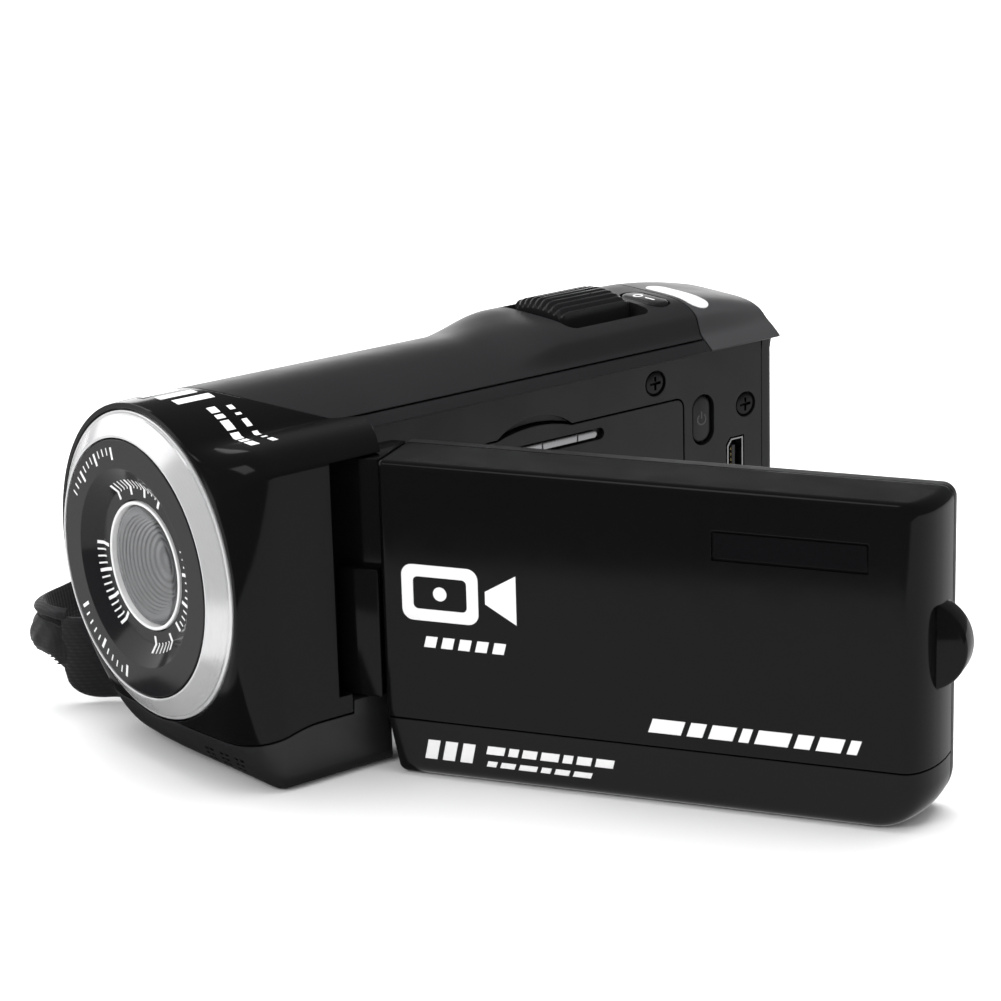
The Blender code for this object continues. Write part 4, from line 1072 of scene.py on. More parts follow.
# Scales on the lens's face: inner and outer radius, start and end angle in degrees, ticks, and how
# many ticks there are to each strong one
LENS_SCALES = (
    (15.4, 17.2, 104, 152, 12, 4),
    (15.4, 17.2, 212, 258, 11, 5),
    (10.1, 12.4, 66, 124, 13, 4),
    (9.7, 11.2, -42, 24, 12, 4),
    (9.9, 12.1, 176, 236, 13, 4),
    (10.1, 12.4, 278, 302, 6, 5),
)


def lens_marks():
    ticks = [one for row in LENS_SCALES for one in tick_row(*row)]
    piece("lens_scale", joined(ticks), "white_print", body="body")


# --- Controls on the top and the wall --------------------------------------------------------------


def zoom_lever():
    """A thumb slide with a crowned, ribbed top, on a stem through the well's floor."""
    ribs = 9
    outline = [(-LEVER_HALF_X, WELL_FLOOR_Z + GAP), (LEVER_HALF_X, WELL_FLOOR_Z + GAP)]
    for i in range(ribs * 4 + 1):
        x = LEVER_HALF_X * (1 - i / ribs / 2)
        crown = lever_high.z - 1.2 * (x / LEVER_HALF_X) ** 2
        outline.append((x, crown - (0.6 if i % 4 in (2, 3) else 0.0)))
    # Both ends round off: how far in from the end, and how much of the rounding is left there
    rounding = [(0.0, 1.0), (0.25, 0.5), (0.7, 0.15), (1.3, 0.0)]
    ends = [(lever_low.y + step, drop) for step, drop in rounding]
    ends += [(lever_high.y - step, drop) for step, drop in rounding[::-1]]
    floor = WELL_FLOOR_Z + GAP
    loops = [[(x * (1 - drop * 0.06), y, floor + (z - floor) * (1 - drop * 0.22)) for x, z in outline]
             for y, drop in ends]
    slide = union(loft(loops), box((-1.8, 23.0, 47.4), (1.8, 27.0, 51.5)))
    piece("zoom_slide", slide, "key_black", "zoom_lever", sharp=28)


def screw(name, axis, place, face, inwards):
    """A small cross-head screw; inwards is the sign of its way in along the axis."""
    profile = [(0, 0), (SCREW_HEAD_R - 0.45, 0.03), (SCREW_HEAD_R - 0.12, 0.14), (SCREW_HEAD_R, 0.3)]
    profile += [(SCREW_HEAD_R, 0.65), (SCREW_SHANK_R, 0.65), (SCREW_SHANK_R, SCREW_LONG)]
    head = [(radius, face + depth * inwards) for radius, depth in profile + [(0, SCREW_LONG)]]
    a, b = place
    slots = []
    for half_a, half_b in ((1.05, 0.2), (0.2, 1.05)):
        outline = rectangle((a - half_a, b - half_b), (a + half_a, b + half_b))
        slots.append(prism(axis, outline, *sorted((face - 1.0 * inwards, face + 0.5 * inwards))))
    piece(name + "_head", cut(turned(axis, place, head, 48), *slots), "black_steel", name)


def fasteners():
    for number, place in enumerate(WALL_SCREWS, 1):
        screw(f"wall_screw_{number}", "X", place, WALL_X - 0.05, -1)
    for number, place in enumerate(BASE_SCREWS, 1):
        screw(f"base_screw_{number}", "Z", place, 0.2, 1)


def tripod_thread():
    """The bush in the base, with the turns of its thread."""
    bush = [(TRIPOD_BUSH_R, 7.0), (TRIPOD_BUSH_R, 0.5), (TRIPOD_BUSH_R - 0.2, 0.3)]
    bush += [(TRIPOD_HOLE_R + 0.5, 0.3)]
    for i in range(7):
        z = 0.9 + 0.85 * i
        bush += [(TRIPOD_HOLE_R, z), (TRIPOD_HOLE_R + 0.45, z + 0.42)]
    bush += [(TRIPOD_HOLE_R, 7.0)]
    piece("tripod_thread", turned("Z", TRIPOD_PLACE, bush, 64), "brass", "tripod_bush", sharp=20)


def photo_button():
    """An oval key with a ring and a bar printed on it."""
    key = soft_prism("Z", stadium(PHOTO_PLACE, 4.5, 1.9), 48.5, PHOTO_TOP_Z, 0.5)
    piece("photo_key", key, "key_black", "photo_button")
    x, y = PHOTO_PLACE
    low, high = PHOTO_TOP_Z - 0.1, PHOTO_TOP_Z + PRINT
    ring = cut(prism("Z", circle((x - 1.6, y), 0.8, 24), low, high),
               prism("Z", circle((x - 1.6, y), 0.5, 24), 50, 60))
    bar = prism("Z", stadium((x + 1.2, y), 1.1, 0.16), low, high)
    piece("photo_key_mark", joined([ring, bar]), "white_print", body="photo_button")


def power_button():
    """An upright oval key with an open ring and a stroke printed on it."""
    key = soft_prism("X", upright(stadium((0, 0), 3.7, 1.9), POWER_PLACE), 6.5, KEY_FACE_X, 0.45)
    piece("power_key", key, "key_black", "power_button")
    y, z = POWER_PLACE
    face = KEY_FACE_X + PRINT
    open_ring = arc(POWER_PLACE, 0.95, 125, 415, 24) + arc(POWER_PLACE, 0.7, 415, 125, 24)
    stroke = rectangle((y - 0.12, z + 0.1), (y + 0.12, z + 1.2))
    marks = [prism("X", outline, face - 0.1, face) for outline in (open_ring, stroke)]
    piece("power_key_mark", joined(marks), "print_grey", body="power_button")


def round_key(place, radius, crown, steps):
    """A round key on the rear, from its hidden end to a crown of (radius, level) points."""
    return turned("Y", place, [(0, KEY_BASE_Y), (radius, KEY_BASE_Y)] + crown, steps)


def rear_buttons():
    """The record and play keys and the status light."""
    crown = [(RECORD_R, 55.4), (RECORD_R - 0.25, 55.9), (RECORD_R - 0.8, 56.1)]
    crown += [(RECORD_R - 1.2, 56.05), (3.0, 55.8), (0, 55.7)]
    piece("record_key", round_key(RECORD_PLACE, RECORD_R, crown, 96), "steel", "record_button")
    dot = [(0, 55.65), (1.5, 55.7), (1.5, 55.82), (0, 55.8)]
    piece("record_key_dot", turned("Y", RECORD_PLACE, dot, 32), "red", body="record_button")
    crown = [(PLAY_R, 55.2), (PLAY_R - 0.15, 55.5), (PLAY_R - 0.5, 55.6), (0, 55.5)]
    piece("play_key", round_key(PLAY_PLACE, PLAY_R, crown, 64), "key_black", "play_button")
    arrow = [(PLAY_PLACE[0] + x, PLAY_PLACE[1] + z) for x, z in ((0.8, -1.0), (0.8, 1.0), (-0.9, 0.0))]
    piece("play_key_mark", prism("Y", arrow, 55.4, 55.6), "white_print", body="play_button")
    crown = [(LIGHT_R, 54.9), (LIGHT_R - 0.3, 55.1), (0, 55.15)]
    piece("status_lamp", round_key(LIGHT_PLACE, LIGHT_R, crown, 32), "red", "status_light")


def latch_outline(ends, half, steps=16):
    """A slot with round ends along the latch's way."""
    low, high = ends
    return stadium(((low + high) / 2, LATCH_Z), (high - low) / 2, half, steps)


def battery_door():
    """A cover hinged along its lower edge, with a sliding latch in a slot."""
    axis_x, axis_z = DOOR_AXIS
    inner = WALL_X - 2 * (WALL_X - axis_x)
    section = [(inner, axis_z), *arc((axis_x, axis_z), WALL_X - axis_x, 180, 360, 16)]
    section += [(WALL_X, DOOR_TOP_Z - GAP), (inner, DOOR_TOP_Z - GAP)]
    plate = prism("Y", section, DOOR_FRONT_Y + GAP, DOOR_REAR_Y - GAP)
    plate = common(plate, prism("X", door_outline(GAP), 5, 20))
    tongue = prism("X", scoop(TONGUE_R - GAP, TONGUE_Z, 37.6), inner, WALL_X)
    slot = prism("X", latch_outline(LATCH_SLOT, 0.9), WALL_X - 0.95, 20)
    shell = cut(union(plate, tongue), slot, door_pin_bore(1))
    piece("door_plate", shell, "matt_black", "battery_door", weighted=True)
    bar = soft_prism("X", latch_outline(LATCH_BAR, 0.6, 8), WALL_X - 0.75, WALL_X - 0.1, 0.2)
    marks = [box((WALL_X - 0.3, y - 0.12, 30), (WALL_X + 1, y + 0.12, 40)) for y in (10.0, 16.6)]
    piece("latch_bar", cut(bar, *marks), "steel", "door_latch")


def usb_socket():
    """The folded metal mouth, its tongue and the five contact strips on it."""
    cy, cz = USB_CENTRE
    opening = [(cy + (y - cy) * 0.84, cz + (z - cz) * 0.93) for y, z in usb_outline()]
    mouth = cut(prism("X", usb_outline(), 4.6, WALL_X), prism("X", opening, 5.4, 20))
    piece("usb_mouth", mouth, "steel", "usb_socket")
    tongue = box((5.0, cy - 0.35, cz - 2.3), (WALL_X - 0.35, cy + 0.25, cz + 2.3))
    piece("usb_tongue", tongue, "black_part", body="body")
    strips = []
    for i in range(5):
        z = cz - 1.7 + 0.85 * i
        strips.append(box((6.0, cy - 0.5, z - 0.24), (WALL_X - 0.45, cy - 0.34, z + 0.24)))
    piece("usb_contacts", joined(strips), "gold", body="body")


# --- Hinge and screen ------------------------------------------------------------------------------

TO_PANEL = Matrix.Translation((SWING.x, SWING.y, 0)) @ Matrix.Rotation(SWING_TURN, 4, "Z")


def hinge():
    """The block that turns with the screen."""
    face = PANEL_START - 0.35
    outline = [(0.0, -PANEL_OUT)] + arc((face - 0.3, -PANEL_OUT + 0.3), 0.3, -90, 0, 4)
    outline += [(face, 8.4), (2.6, 8.4)] + arc((0, 0), PANEL_OUT, 168, 264, 24)
    recessed = [(s, max(y, -PANEL_OUT + BLOCK_RECESS)) for s, y in outline]
    block = cut(
        union(soft_prism("Z", outline, block_low.z, BLOCK_STEP_Z, BLOCK_EDGE_R, both=True),
              soft_prism("Z", recessed, BLOCK_STEP_Z - 2.0, block_high.z, BLOCK_EDGE_R)),
        rod("Z", (0, 0), PIN_BORE_R, 0, 60),
        rod("X", (SHAFT_Y, TILT_Z), 1.72, 1.3, 20, 32),
    )
    piece("hinge_cover", block, "gloss_black", "hinge_block", turn=TO_PANEL)


def panel_outline(left, right, top, bottom):
    """The screen's front outline with its four sides moved inwards."""
    s0, s1 = PANEL_START + left, PANEL_END - right
    z0, z1 = PANEL_BOTTOM_Z + bottom, PANEL_TOP_Z - top
    points = arc((s0 + PANEL_LEFT_TAPER + 1.0, z0 + 1.0), 1.0, 188, 270, 8)
    points += [(20.0, z0), (40.0, z0), (60.0, z0)]
    points += arc((s1 - 5.8, z0 + 5.8), 5.8, 270, 360, 24) + [(s1, 20.0), (s1, 32.0)]
    points += arc((s1 - 1.8, z1 - 1.8), 1.8, 0, 90, 10) + [(60.0, z1), (40.0, z1), (20.0, z1)]
    return points + arc((s0 + 0.6, z1 - 0.6), 0.6, 90, 180, 6) + [(s0, 20.0), (s0, PANEL_SEAM_Z + 1.0)]


def round_over(radius, depth):
    """How far a rounded edge of this radius lies inside its side, at a depth under the face."""
    if depth >= radius:
        return 0.0
    return radius - math.sqrt(max(radius**2 - (radius - depth) ** 2, 0.0))


def end_curve(depth):
    """How far the free end lies inside its full length, at a depth under the gloss face."""
    reach, full = PANEL_END_ROUND
    return reach * (1 - math.sqrt(1 - (1 - min(depth / full, 1.0)) ** 2))


def panel_solid(shrink=0.0):
    """The screen's whole shape: crisp on three edges of its gloss face, well rounded at its free end."""
    rings = []
    if not shrink:
        inner = panel_outline(1.4, 4.6, 1.7, 2.4)
        rings.append([(s, -PANEL_OUT, z) for s, z in inner])
    for depth in PANEL_DEPTHS:
        sides = (round_over(0.9, depth), end_curve(depth), round_over(1.15, depth), round_over(1.9, depth))
        outline = panel_outline(*(side + shrink for side in sides))
        rings.append([(s, -PANEL_OUT + shrink + depth, z) for s, z in outline])
    rear = PANEL_REAR - shrink
    for depth in [d for d in PANEL_DEPTHS[::-1] if d <= REAR_EDGE_DEPTH]:
        sides = [round_over(radius, depth) for radius in (0.8, 1.2, 0.8, 1.0)]
        outline = panel_outline(*(side + shrink for side in sides))
        rings.append([(s, rear - depth, z) for s, z in outline])
    if not shrink:
        rings.append([(s, rear, z) for s, z in panel_outline(1.3, 1.7, 1.3, 1.5)])
    return loft(rings)


def panel_covers():
    """The gloss outer cover with its window's recess, and the trim under it."""
    shaft = rod("X", (SHAFT_Y, TILT_Z), 1.85, 0, 12, 32)
    above = box((0, -20, PANEL_SEAM_Z + PANEL_SEAM_HALF_GAP), (100, PANEL_SPLIT - HALF_GAP, 60))
    recess = prism("Y", rounded_rectangle(WINDOW_LOW, WINDOW_HIGH, (0.35,) * 4, 4), -4, -PANEL_OUT + 0.4)
    cover = cut(common(panel_solid(), above), panel_solid(PANEL_WALL), shaft, recess)
    piece("panel_cover", cover, "gloss_black", "panel_outer_cover", weighted=True, turn=TO_PANEL)
    below = box((0, -20, -5), (100, PANEL_SPLIT - HALF_GAP, PANEL_SEAM_Z - PANEL_SEAM_HALF_GAP))
    band = cut(common(panel_solid(), below), panel_solid(PANEL_WALL))
    piece("panel_trim", band, "panel_band", "panel_lower_trim", weighted=True, turn=TO_PANEL)


def screen_panel():
    """The covers, the inner bezel round the screen and what shows on them."""
    panel_covers()
    half_long, half_high = SCREEN_LONG / 2, SCREEN_HIGH / 2
    low = (SCREEN_CENTRE - half_long - GAP, TILT_Z - half_high - GAP)
    high = (SCREEN_CENTRE + half_long + GAP, TILT_Z + half_high + GAP)
    behind = box((0, PANEL_SPLIT + HALF_GAP, -5), (100, 20, 60))
    opening = prism("Y", rounded_rectangle(low, high, (0.6,) * 4, 6), 0, 20)
    bezel = cut(common(panel_solid(), behind), opening)
    piece("panel_inner_bezel", bezel, "matt_black", "panel_bezel", weighted=True, turn=TO_PANEL)
    low, high = ([c + gap for c in corner] for corner, gap in
                 ((WINDOW_LOW, WINDOW_GAP), (WINDOW_HIGH, -WINDOW_GAP)))
    pane = rounded_rectangle(low, high, (0.2,) * 4, 3)
    glass = prism("Y", pane, -PANEL_OUT + 0.15, -PANEL_OUT + 0.42)
    piece("panel_window", glass, "window", body="panel", turn=TO_PANEL)
    finger_tab()
    panel_marks()


def finger_tab():
    """A thin crescent at the free end, to catch with a finger."""
    edge = PANEL_END - 1.5
    centre = (PANEL_END - 2.9, TILT_Z + TAB_RISE)
    reach = math.degrees(math.acos((edge - centre[0]) / TAB_R))
    tab = soft_prism("Y", arc(centre, TAB_R, -reach, reach, 40), 1.2, 5.5, 0.5, both=True)
    piece("panel_tab", tab, "gloss_black", "panel_finger_tab", turn=TO_PANEL)


def panel_print(outline, hollow=None):
    """A printed shape on the screen's gloss face."""
    face = -PANEL_OUT - PRINT
    solid = prism("Y", outline, face, -PANEL_OUT + 0.05)
    return cut(solid, prism("Y", hollow, face - 1, 0)) if hollow else solid


def slanted(start, end, low, high, slant=0.5):
    """A slanted bar in the plane of the gloss face."""
    return [(start, low), (end, low), (end + slant, high), (start + slant, high)]


def panel_marks():
    """Plain signs instead of lettering: a small video sign, bars and dashes."""
    frame_low, frame_high = (8.2, 23.0), (19.4, 31.0)
    sign = [
        panel_print(rounded_rectangle(frame_low, frame_high, (1.6,) * 4),
                    rounded_rectangle((9.9, 24.7), (17.7, 29.3), (0.7,) * 4)),
        panel_print([(20.4, 26.2), (24.9, 23.6), (24.9, 30.6), (20.4, 28.0)]),
        panel_print(circle((13.8, 27.0), 1.0, 32)),
    ]
    sign += [panel_print(slanted(11.2 + 2.5 * i, 12.9 + 2.5 * i, 19.2, 20.8, 0.4)) for i in range(5)]
    band = [panel_print(slanted(10.8 + 2.6 * i, 12.6 + 2.6 * i, 2.9, 5.7, 0.6)) for i in range(3)]
    for row, (low, high) in enumerate(((4.5, 5.7), (2.7, 3.5))):
        start = 19.9
        for i in range(7 - row):
            length = (2.6, 1.4, 2.1)[(i + row) % 3]
            band.append(panel_print(slanted(start, start + length, low, high, 0.3)))
            start += length + 0.6
    start = 43.4
    for i in range(8):
        length = (4.6, 2.2, 3.4, 1.4)[i % 4]
        sign.append(panel_print(slanted(start, start + length, 10.4, 12.4, 0.7)))
        start += length + 0.8
    piece("panel_signs", joined(sign + band), "white_print", body="panel", turn=TO_PANEL)


# --- Prints on the body ----------------------------------------------------------------------------


def top_height(x):
    """Height of the housing's top at a place across it."""
    shelf_in = math.sqrt(BARREL_R**2 - (SHELF_Z - LENS_Z) ** 2)
    return SHELF_Z if x > shelf_in else LENS_Z + math.sqrt(BARREL_R**2 - x**2)


def draped(x0, x1, y0, y1, skew=0.0):
    """A printed patch that follows the top of the housing across its width."""
    rings = []
    steps = max(2, int((x1 - x0) / 0.6))
    for i in range(steps + 1):
        x = x0 + (x1 - x0) * i / steps
        z = top_height(x)
        shift = skew * (x - x0)
        rings.append([(x, y0 + shift, z - 0.05), (x, y1 + shift, z - 0.05),
                      (x, y1 + shift, z + PRINT), (x, y0 + shift, z + PRINT)])
    return loft(rings)


def housing_marks():
    """Bars and dashes on the top of the housing."""
    marks = [draped(-4.6 + 3.1 * i, -2.8 + 3.1 * i, -49.0 + 0.9 * i, -43.0 + 0.9 * i) for i in range(3)]
    x = 6.0
    for i in range(6):
        length = (1.5, 0.9, 1.9)[i % 3]
        marks.append(draped(x, x + length, -44.4, -43.0))
        marks.append(draped(x + 0.4, x + length, -41.4 + 0.1 * i, -40.5 + 0.1 * i))
        x += length + 0.5
    piece("housing_marks", joined(marks), "white_print", body="body")


def platform_top(x, y):
    """Height of the raised top at a place."""
    z = platform_height(y)
    for _ in range(12):
        reach = top_radius(math.degrees(math.atan2(z, x)), y)
        z = math.sqrt(reach**2 - x**2)
    return LENS_Z + z


def cap_badge():
    """A light capsule across the rear of the top, following its slope."""
    (middle, y), (reach, half) = BADGE_PLACE, BADGE_HALF
    rings = []
    for i in range(41):
        x = middle - (reach + half) * math.cos(math.pi * i / 40)
        past = max(abs(x - middle) - reach, 0.0)
        wide = max(math.sqrt(max(half**2 - past**2, 0.0)), 0.05)
        corners = [(y - wide, -0.3), (y + wide, -0.3), (y + wide, 0.08), (y - wide, 0.08)]
        rings.append([(x, side, platform_top(x, side) + lift) for side, lift in corners])
    piece("cap_badge", loft(rings), "badge", body="body")


# --- Strap -----------------------------------------------------------------------------------------


# The strap's middle line in plan, from its front lug out round the hand to its rear lug
STRAP_KNOTS = [(-23.2, -44.6), (-27.0, -49.6), (-32.5, -51.0), (-37.0, -47.0), (-39.4, -36.0)]
STRAP_KNOTS += [(-40.2, -15.0), (-39.0, 8.0), (-35.6, 26.0), (-29.8, 38.0), (-24.4, 44.0)]
STRAP_STEPS = 12
LUG_PLACES = {"strap_lug_front": -43.4, "strap_lug_rear": 45.6}
LUG_OUTLINE = [(-19.6, 8.2), (-21.6, 4.2), (-22.9, 5.2), (-22.9, 15.0), (-22.4, 15.6), (-21.9, 13.4)]
LUG_HALF_WIDTH = 1.3
STITCH_ROWS = (0.13, 0.72)
STITCH_DEPTH = 0.12
PAD_FRONT_TOP_Z = 14.6
PAD_FRONT_BOTTOM_Z = 4.6


def ribbon(route, section):
    """A band along a route in plan; section(t) gives (side, height) points, t from 0 to 1."""
    count = len(route)
    rings = []
    for i, here in enumerate(route):
        heading = (route[min(i + 1, count - 1)] - route[max(i - 1, 0)]).normalized()
        across = Vector((-heading.y, heading.x))
        rings.append([(*(here + across * side), height) for side, height in section(i / (count - 1))])
    return loft(rings)


def band_section(low, high, thick=1.6):
    edge = thick / 2
    return rounded_rectangle((-edge, low), (edge, high), (edge * 0.9,) * 4, 4)


def front_webbing(t):
    """Narrow where it leaves the lug under the lens, then as high as the front of the pad."""
    low = 0.8 + 4.0 * (1 - math.sqrt(1 - max((t - 0.72) / 0.28, 0.0) ** 2))
    return band_section(low, 5.2 + 8.2 * smooth(t / 0.35))


def pad_edges(t):
    """Lower and upper edge of the pad: shallow round the front bend, full along the hand."""
    front = 1 - smooth((t - 0.35) / 0.25)
    lift = 2.2 * smooth(t / 0.08) * front
    low = pad_low.z + (PAD_FRONT_BOTTOM_Z - pad_low.z) * front + lift
    return low, pad_high.z + (PAD_FRONT_TOP_Z - pad_high.z) * front


def pad_crown(u, t):
    """How far the outer face stands out, from the lower edge (u = 0) to the bound upper edge."""
    fold = 1 - smooth((t - 0.25) / 0.3)
    rim_start = 0.80 + 0.06 * (1 - fold)
    if u > rim_start:
        rim = math.sin(math.pi * (u - rim_start) / (1 - rim_start))
        return -0.5 * fold + (1.0 + 0.9 * fold) * max(rim, 0.0) ** 0.6
    swell = math.sin(math.pi * (u / rim_start) ** 0.75)
    wrinkle = 0.12 * math.sin(95 * t + 7 * u) + 0.08 * math.sin(41 * t - 11 * u)
    return -0.5 * fold + (1.6 + 0.8 * fold + wrinkle) * max(swell, 0.0) ** 0.6


def pad_section(t):
    """A filled cloth band with a corded upper edge, pinched under it round the front bend."""
    low, high = pad_edges(t)
    fill = 0.5 + 0.5 * smooth(t / 0.04) * smooth((1 - t) / 0.04)
    outer, inner = [], []
    for i in range(41):
        u = (1 - math.cos(math.pi * i / 40)) / 2
        height = low + (high - low) * u
        edge = math.sin(math.pi * u) ** 0.35 if 0 < u < 1 else 0.0
        outer.append((-0.3 + (0.3 + pad_crown(u, t)) * fill * min(edge * 1.2, 1.0), height))
        inner.append((-0.35 - (0.55 + 0.55 * math.sin(math.pi * u)) * fill * edge, height))
    return outer + inner[::-1][1:-1]


def pad_stitches(route):
    """Two rows of stitches along the outer face of the pad."""
    stitches = []
    count = len(route)
    for i in range(2, count - 3):
        t = i / (count - 1)
        low, high = pad_edges(t)
        here = route[i]
        heading = (route[i + 1] - route[i - 1]).normalized()
        across = Vector((-heading.y, heading.x))
        for u in STITCH_ROWS:
            side = -0.3 + (0.3 + pad_crown(u, t)) * min(1.2 * math.sin(math.pi * u) ** 0.35, 1.0)
            middle = here + across * (side + 0.02)
            z = low + (high - low) * u
            ring = []
            for along_it, up in ((-0.5, 0), (0, -0.14), (0.5, 0), (0, 0.14)):
                ring.append((*(middle + heading * along_it + across * -STITCH_DEPTH), z + up))
            raised = [(*(Vector(p[:2]) + across * 0.2), p[2]) for p in ring]
            stitches.append(loft([ring, raised]))
    return joined(stitches)


def strap():
    route = curve_through(STRAP_KNOTS, STRAP_STEPS)
    front, rear = STRAP_STEPS + 1, len(route) - 21
    lead = curve_through([(-18.9, -43.6), (-20.9, -43.9), *STRAP_KNOTS[:3]], STRAP_STEPS)
    front_band = ribbon(lead[: 3 * STRAP_STEPS + 3], front_webbing)
    piece("webbing_front", front_band, "webbing", "strap_webbing_front")
    pad_route = route[front:rear]
    pad = piece("hand_pad", ribbon(pad_route, pad_section), "pad", "strap_pad", sharp=60)
    piece("hand_pad_stitches", pad_stitches(pad_route), "thread", body="body")
    low, high = pad_low.z + 0.8, pad_high.z - 1.0
    rear_band = ribbon(route[rear - 3 :], lambda t: band_section(low, high))
    piece("webbing_rear", rear_band, "webbing", "strap_webbing_rear")
    for name, y in LUG_PLACES.items():
        lug = soft_prism("Y", LUG_OUTLINE[::-1], y - LUG_HALF_WIDTH, y + LUG_HALF_WIDTH, 0.2)
        piece(name + "_loop", lug, "black_steel", name)


# --- Carried-over nodes ----------------------------------------------------------------------------

CARRIED = {
    "lens_barrel": "black_part", "image_sensor": "battery_can", "sensor_board": "board",
    "main_board": "board", "card_holder": "steel", "memory_card": "black_part",
    "battery": "battery_can", "battery_contacts": "black_part", "speaker": "black_steel",
    "microphone": "steel", "control_board": "board", "door_hinge_pin": "steel",
    "hinge_pin": "steel", "tilt_shaft": "steel", "tilt_plate": "steel",
    "lcd_backplate": "steel", "lcd_screen": "screen_glass",
}


def finish_carried_nodes():
    for name, finish in CARRIED.items():
        node = frame["nodes"][name]
        node.data.materials.clear()
        node.data.materials.append(look(finish))


# --- Setting: floor, light, camera -----------------------------------------------------------------


def plain_material(name, colour, strength=0.0):
    made = bpy.data.materials.new(name)
    made.use_nodes = True
    shader = made.node_tree.nodes["Principled BSDF"]
    shader.inputs["Base Color"].default_value = (*colour, 1)
    shader.inputs["Roughness"].default_value = 0.9
    shader.inputs["Specular IOR Level"].default_value = 0.0
    if strength:
        shader.inputs["Emission Color"].default_value = (1, 1, 1, 1)
        shader.inputs["Emission Strength"].default_value = strength
    return made


def sheet_object(name, corners, material):
    mesh = bpy.data.meshes.new(name)
    mesh.from_pydata(corners, [], [tuple(range(len(corners)))])
    mesh.materials.append(material)
    made = bpy.data.objects.new(name, mesh)
    bpy.context.scene.collection.objects.link(made)
    return made


def reflector(name, corners, strength):
    """A bright card that shows in reflections only."""
    made = sheet_object(name, corners, plain_material(name, (0, 0, 0), strength))
    made.visible_camera = False
    made.visible_diffuse = False
    made.visible_shadow = False
    made.visible_transmission = False
    return made


def area_light(name, place, target, size, power):
    """A soft light that does not show in reflections."""
    data = bpy.data.lights.new(name, "AREA")
    data.shape = "RECTANGLE"
    data.size, data.size_y = size
    data.energy = power
    made = bpy.data.objects.new(name, data)
    made.location = place
    made.rotation_euler = (Vector(target) - Vector(place)).to_track_quat("-Z", "Y").to_euler()
    made.visible_glossy = False
    bpy.context.scene.collection.objects.link(made)
    return made


def card(name, azimuth, elevation, size, strength, distance=0.9):
    """A reflector in a direction from the object, in degrees, facing it."""
    a, e = math.radians(azimuth), math.radians(elevation)
    out = Vector((math.cos(e) * math.cos(a), math.cos(e) * math.sin(a), math.sin(e)))
    across = Vector((-math.sin(a), math.cos(a), 0))
    rise = out.cross(across)
    corners = [out * distance + across * size[0] / 2 * i + rise * size[1] / 2 * j
               for i, j in ((-1, -1), (1, -1), (1, 1), (-1, 1))]
    return reflector(name, corners, strength)


FLOOR_REACH = 4.0
# Reflectors round the object: direction in degrees, width and height in metres, strength
CARDS = (
    ("left_card", 200, 27, (1.4, 0.72), 1.0),
    ("back_card", 146, 4, (1.1, 0.36), 2.0),
    ("overhead_card", 263, 68, (0.26, 0.26), 1.5),
)
# Soft lights: place, target, size in metres, power
LIGHTS = (
    ("overhead", (-0.10, 0.15, 0.75), (0, 0, 0.03), (0.9, 0.7), 7.0),
    ("back_left", (-0.75, 0.35, 0.45), (0, 0, 0.03), (0.6, 0.6), 3.0),
    ("front", (0.15, -0.8, 0.6), (0, -0.02, 0.03), (0.4, 0.4), 3.0),
)
# Strength of the white surroundings where they light the object, show in gloss, and show themselves
WORLD_LIGHT, WORLD_GLOSS, WORLD_SEEN = 0.75, 0.12, 1.0


def table():
    """The white floor, and what the gloss faces see of it."""
    corners = [(*corner, 0) for corner in rectangle((-FLOOR_REACH,) * 2, (FLOOR_REACH,) * 2)]
    floor = sheet_object("floor", corners, plain_material("floor_paper", (0.93, 0.93, 0.93)))
    floor.visible_glossy = False
    # The bright part of the table, as the gloss faces see it, ends along a line in front of the screen.
    edge = Vector((0.8894, 0.4572, 0))
    back = Vector((-edge.y, edge.x, 0))
    start = Vector((0.0811, -0.1091, -0.0005))
    bright = [start - edge * 0.5, start + edge * 0.5]
    bright += [start + edge * 0.5 + back * 0.6, start - edge * 0.5 + back * 0.6]
    reflector("table_reflection", bright, 0.62)
    # Close to the body the table is in its shade.
    shade = [(x, y, -0.0003) for x, y in ((-0.03, -0.074), (0.03, -0.074), (0.03, -0.02), (-0.03, 0.06))]
    reflector("table_shade", shade, 0.05)


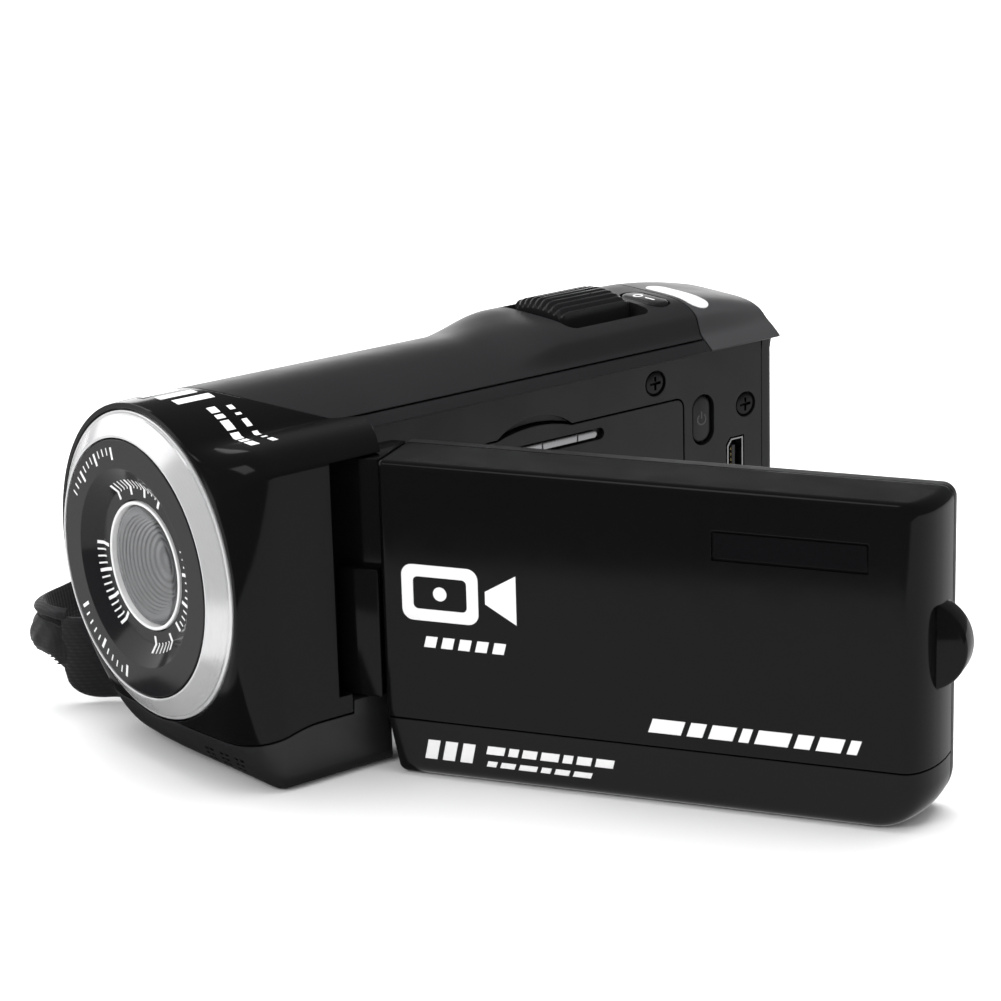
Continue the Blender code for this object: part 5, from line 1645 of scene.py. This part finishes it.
def surroundings():
    """A white world, dimmer where it lights the object and dimmer still in its reflections."""
    world = bpy.data.worlds.new("studio")
    bpy.context.scene.world = world
    world.use_nodes = True
    tree = world.node_tree
    background = tree.nodes["Background"]
    path = tree.nodes.new("ShaderNodeLightPath")
    seen = tree.nodes.new("ShaderNodeMix")
    seen.inputs["A"].default_value = WORLD_LIGHT
    seen.inputs["B"].default_value = WORLD_GLOSS
    tree.links.new(path.outputs["Is Glossy Ray"], seen.inputs["Factor"])
    shown = tree.nodes.new("ShaderNodeMix")
    shown.inputs["B"].default_value = WORLD_SEEN
    tree.links.new(path.outputs["Is Camera Ray"], shown.inputs["Factor"])
    tree.links.new(seen.outputs["Result"], shown.inputs["A"])
    tree.links.new(shown.outputs["Result"], background.inputs["Strength"])
    background.inputs["Color"].default_value = (1, 1, 1, 1)


def studio():
    table()
    for settings in CARDS:
        card(*settings)
    surroundings()
    for settings in LIGHTS:
        area_light(*settings)


CAMERA_LENS = 115.33
CAMERA_PLACE = (0.36994, -0.26770, 0.16462)
CAMERA_RIGHT = (0.60691, 0.79430, -0.02727)
CAMERA_UP = (-0.21354, 0.19602, 0.95707)


def camera():
    data = bpy.data.cameras.new("camera")
    data.lens = CAMERA_LENS
    data.sensor_width = 36.0
    data.clip_start, data.clip_end = 0.01, 20.0
    made = bpy.data.objects.new("camera", data)
    right, up = Vector(CAMERA_RIGHT), Vector(CAMERA_UP)
    turn = Matrix((right, up, right.cross(up))).transposed()
    made.matrix_world = Matrix.Translation(CAMERA_PLACE) @ turn.to_4x4()
    bpy.context.scene.collection.objects.link(made)
    bpy.context.scene.camera = made


STEPS = (
    front_housing, base_cover, top_cover, rear_top_cap, left_side_cover, right_side_cover, rear_cover,
    lens, zoom_lever, fasteners, tripod_thread, photo_button, power_button, rear_buttons,
    battery_door, usb_socket, hinge, screen_panel, housing_marks, cap_badge, strap,
    finish_carried_nodes, studio, camera,
)
for build in STEPS:
    build()
bpy.context.scene.view_settings.view_transform = "Standard"
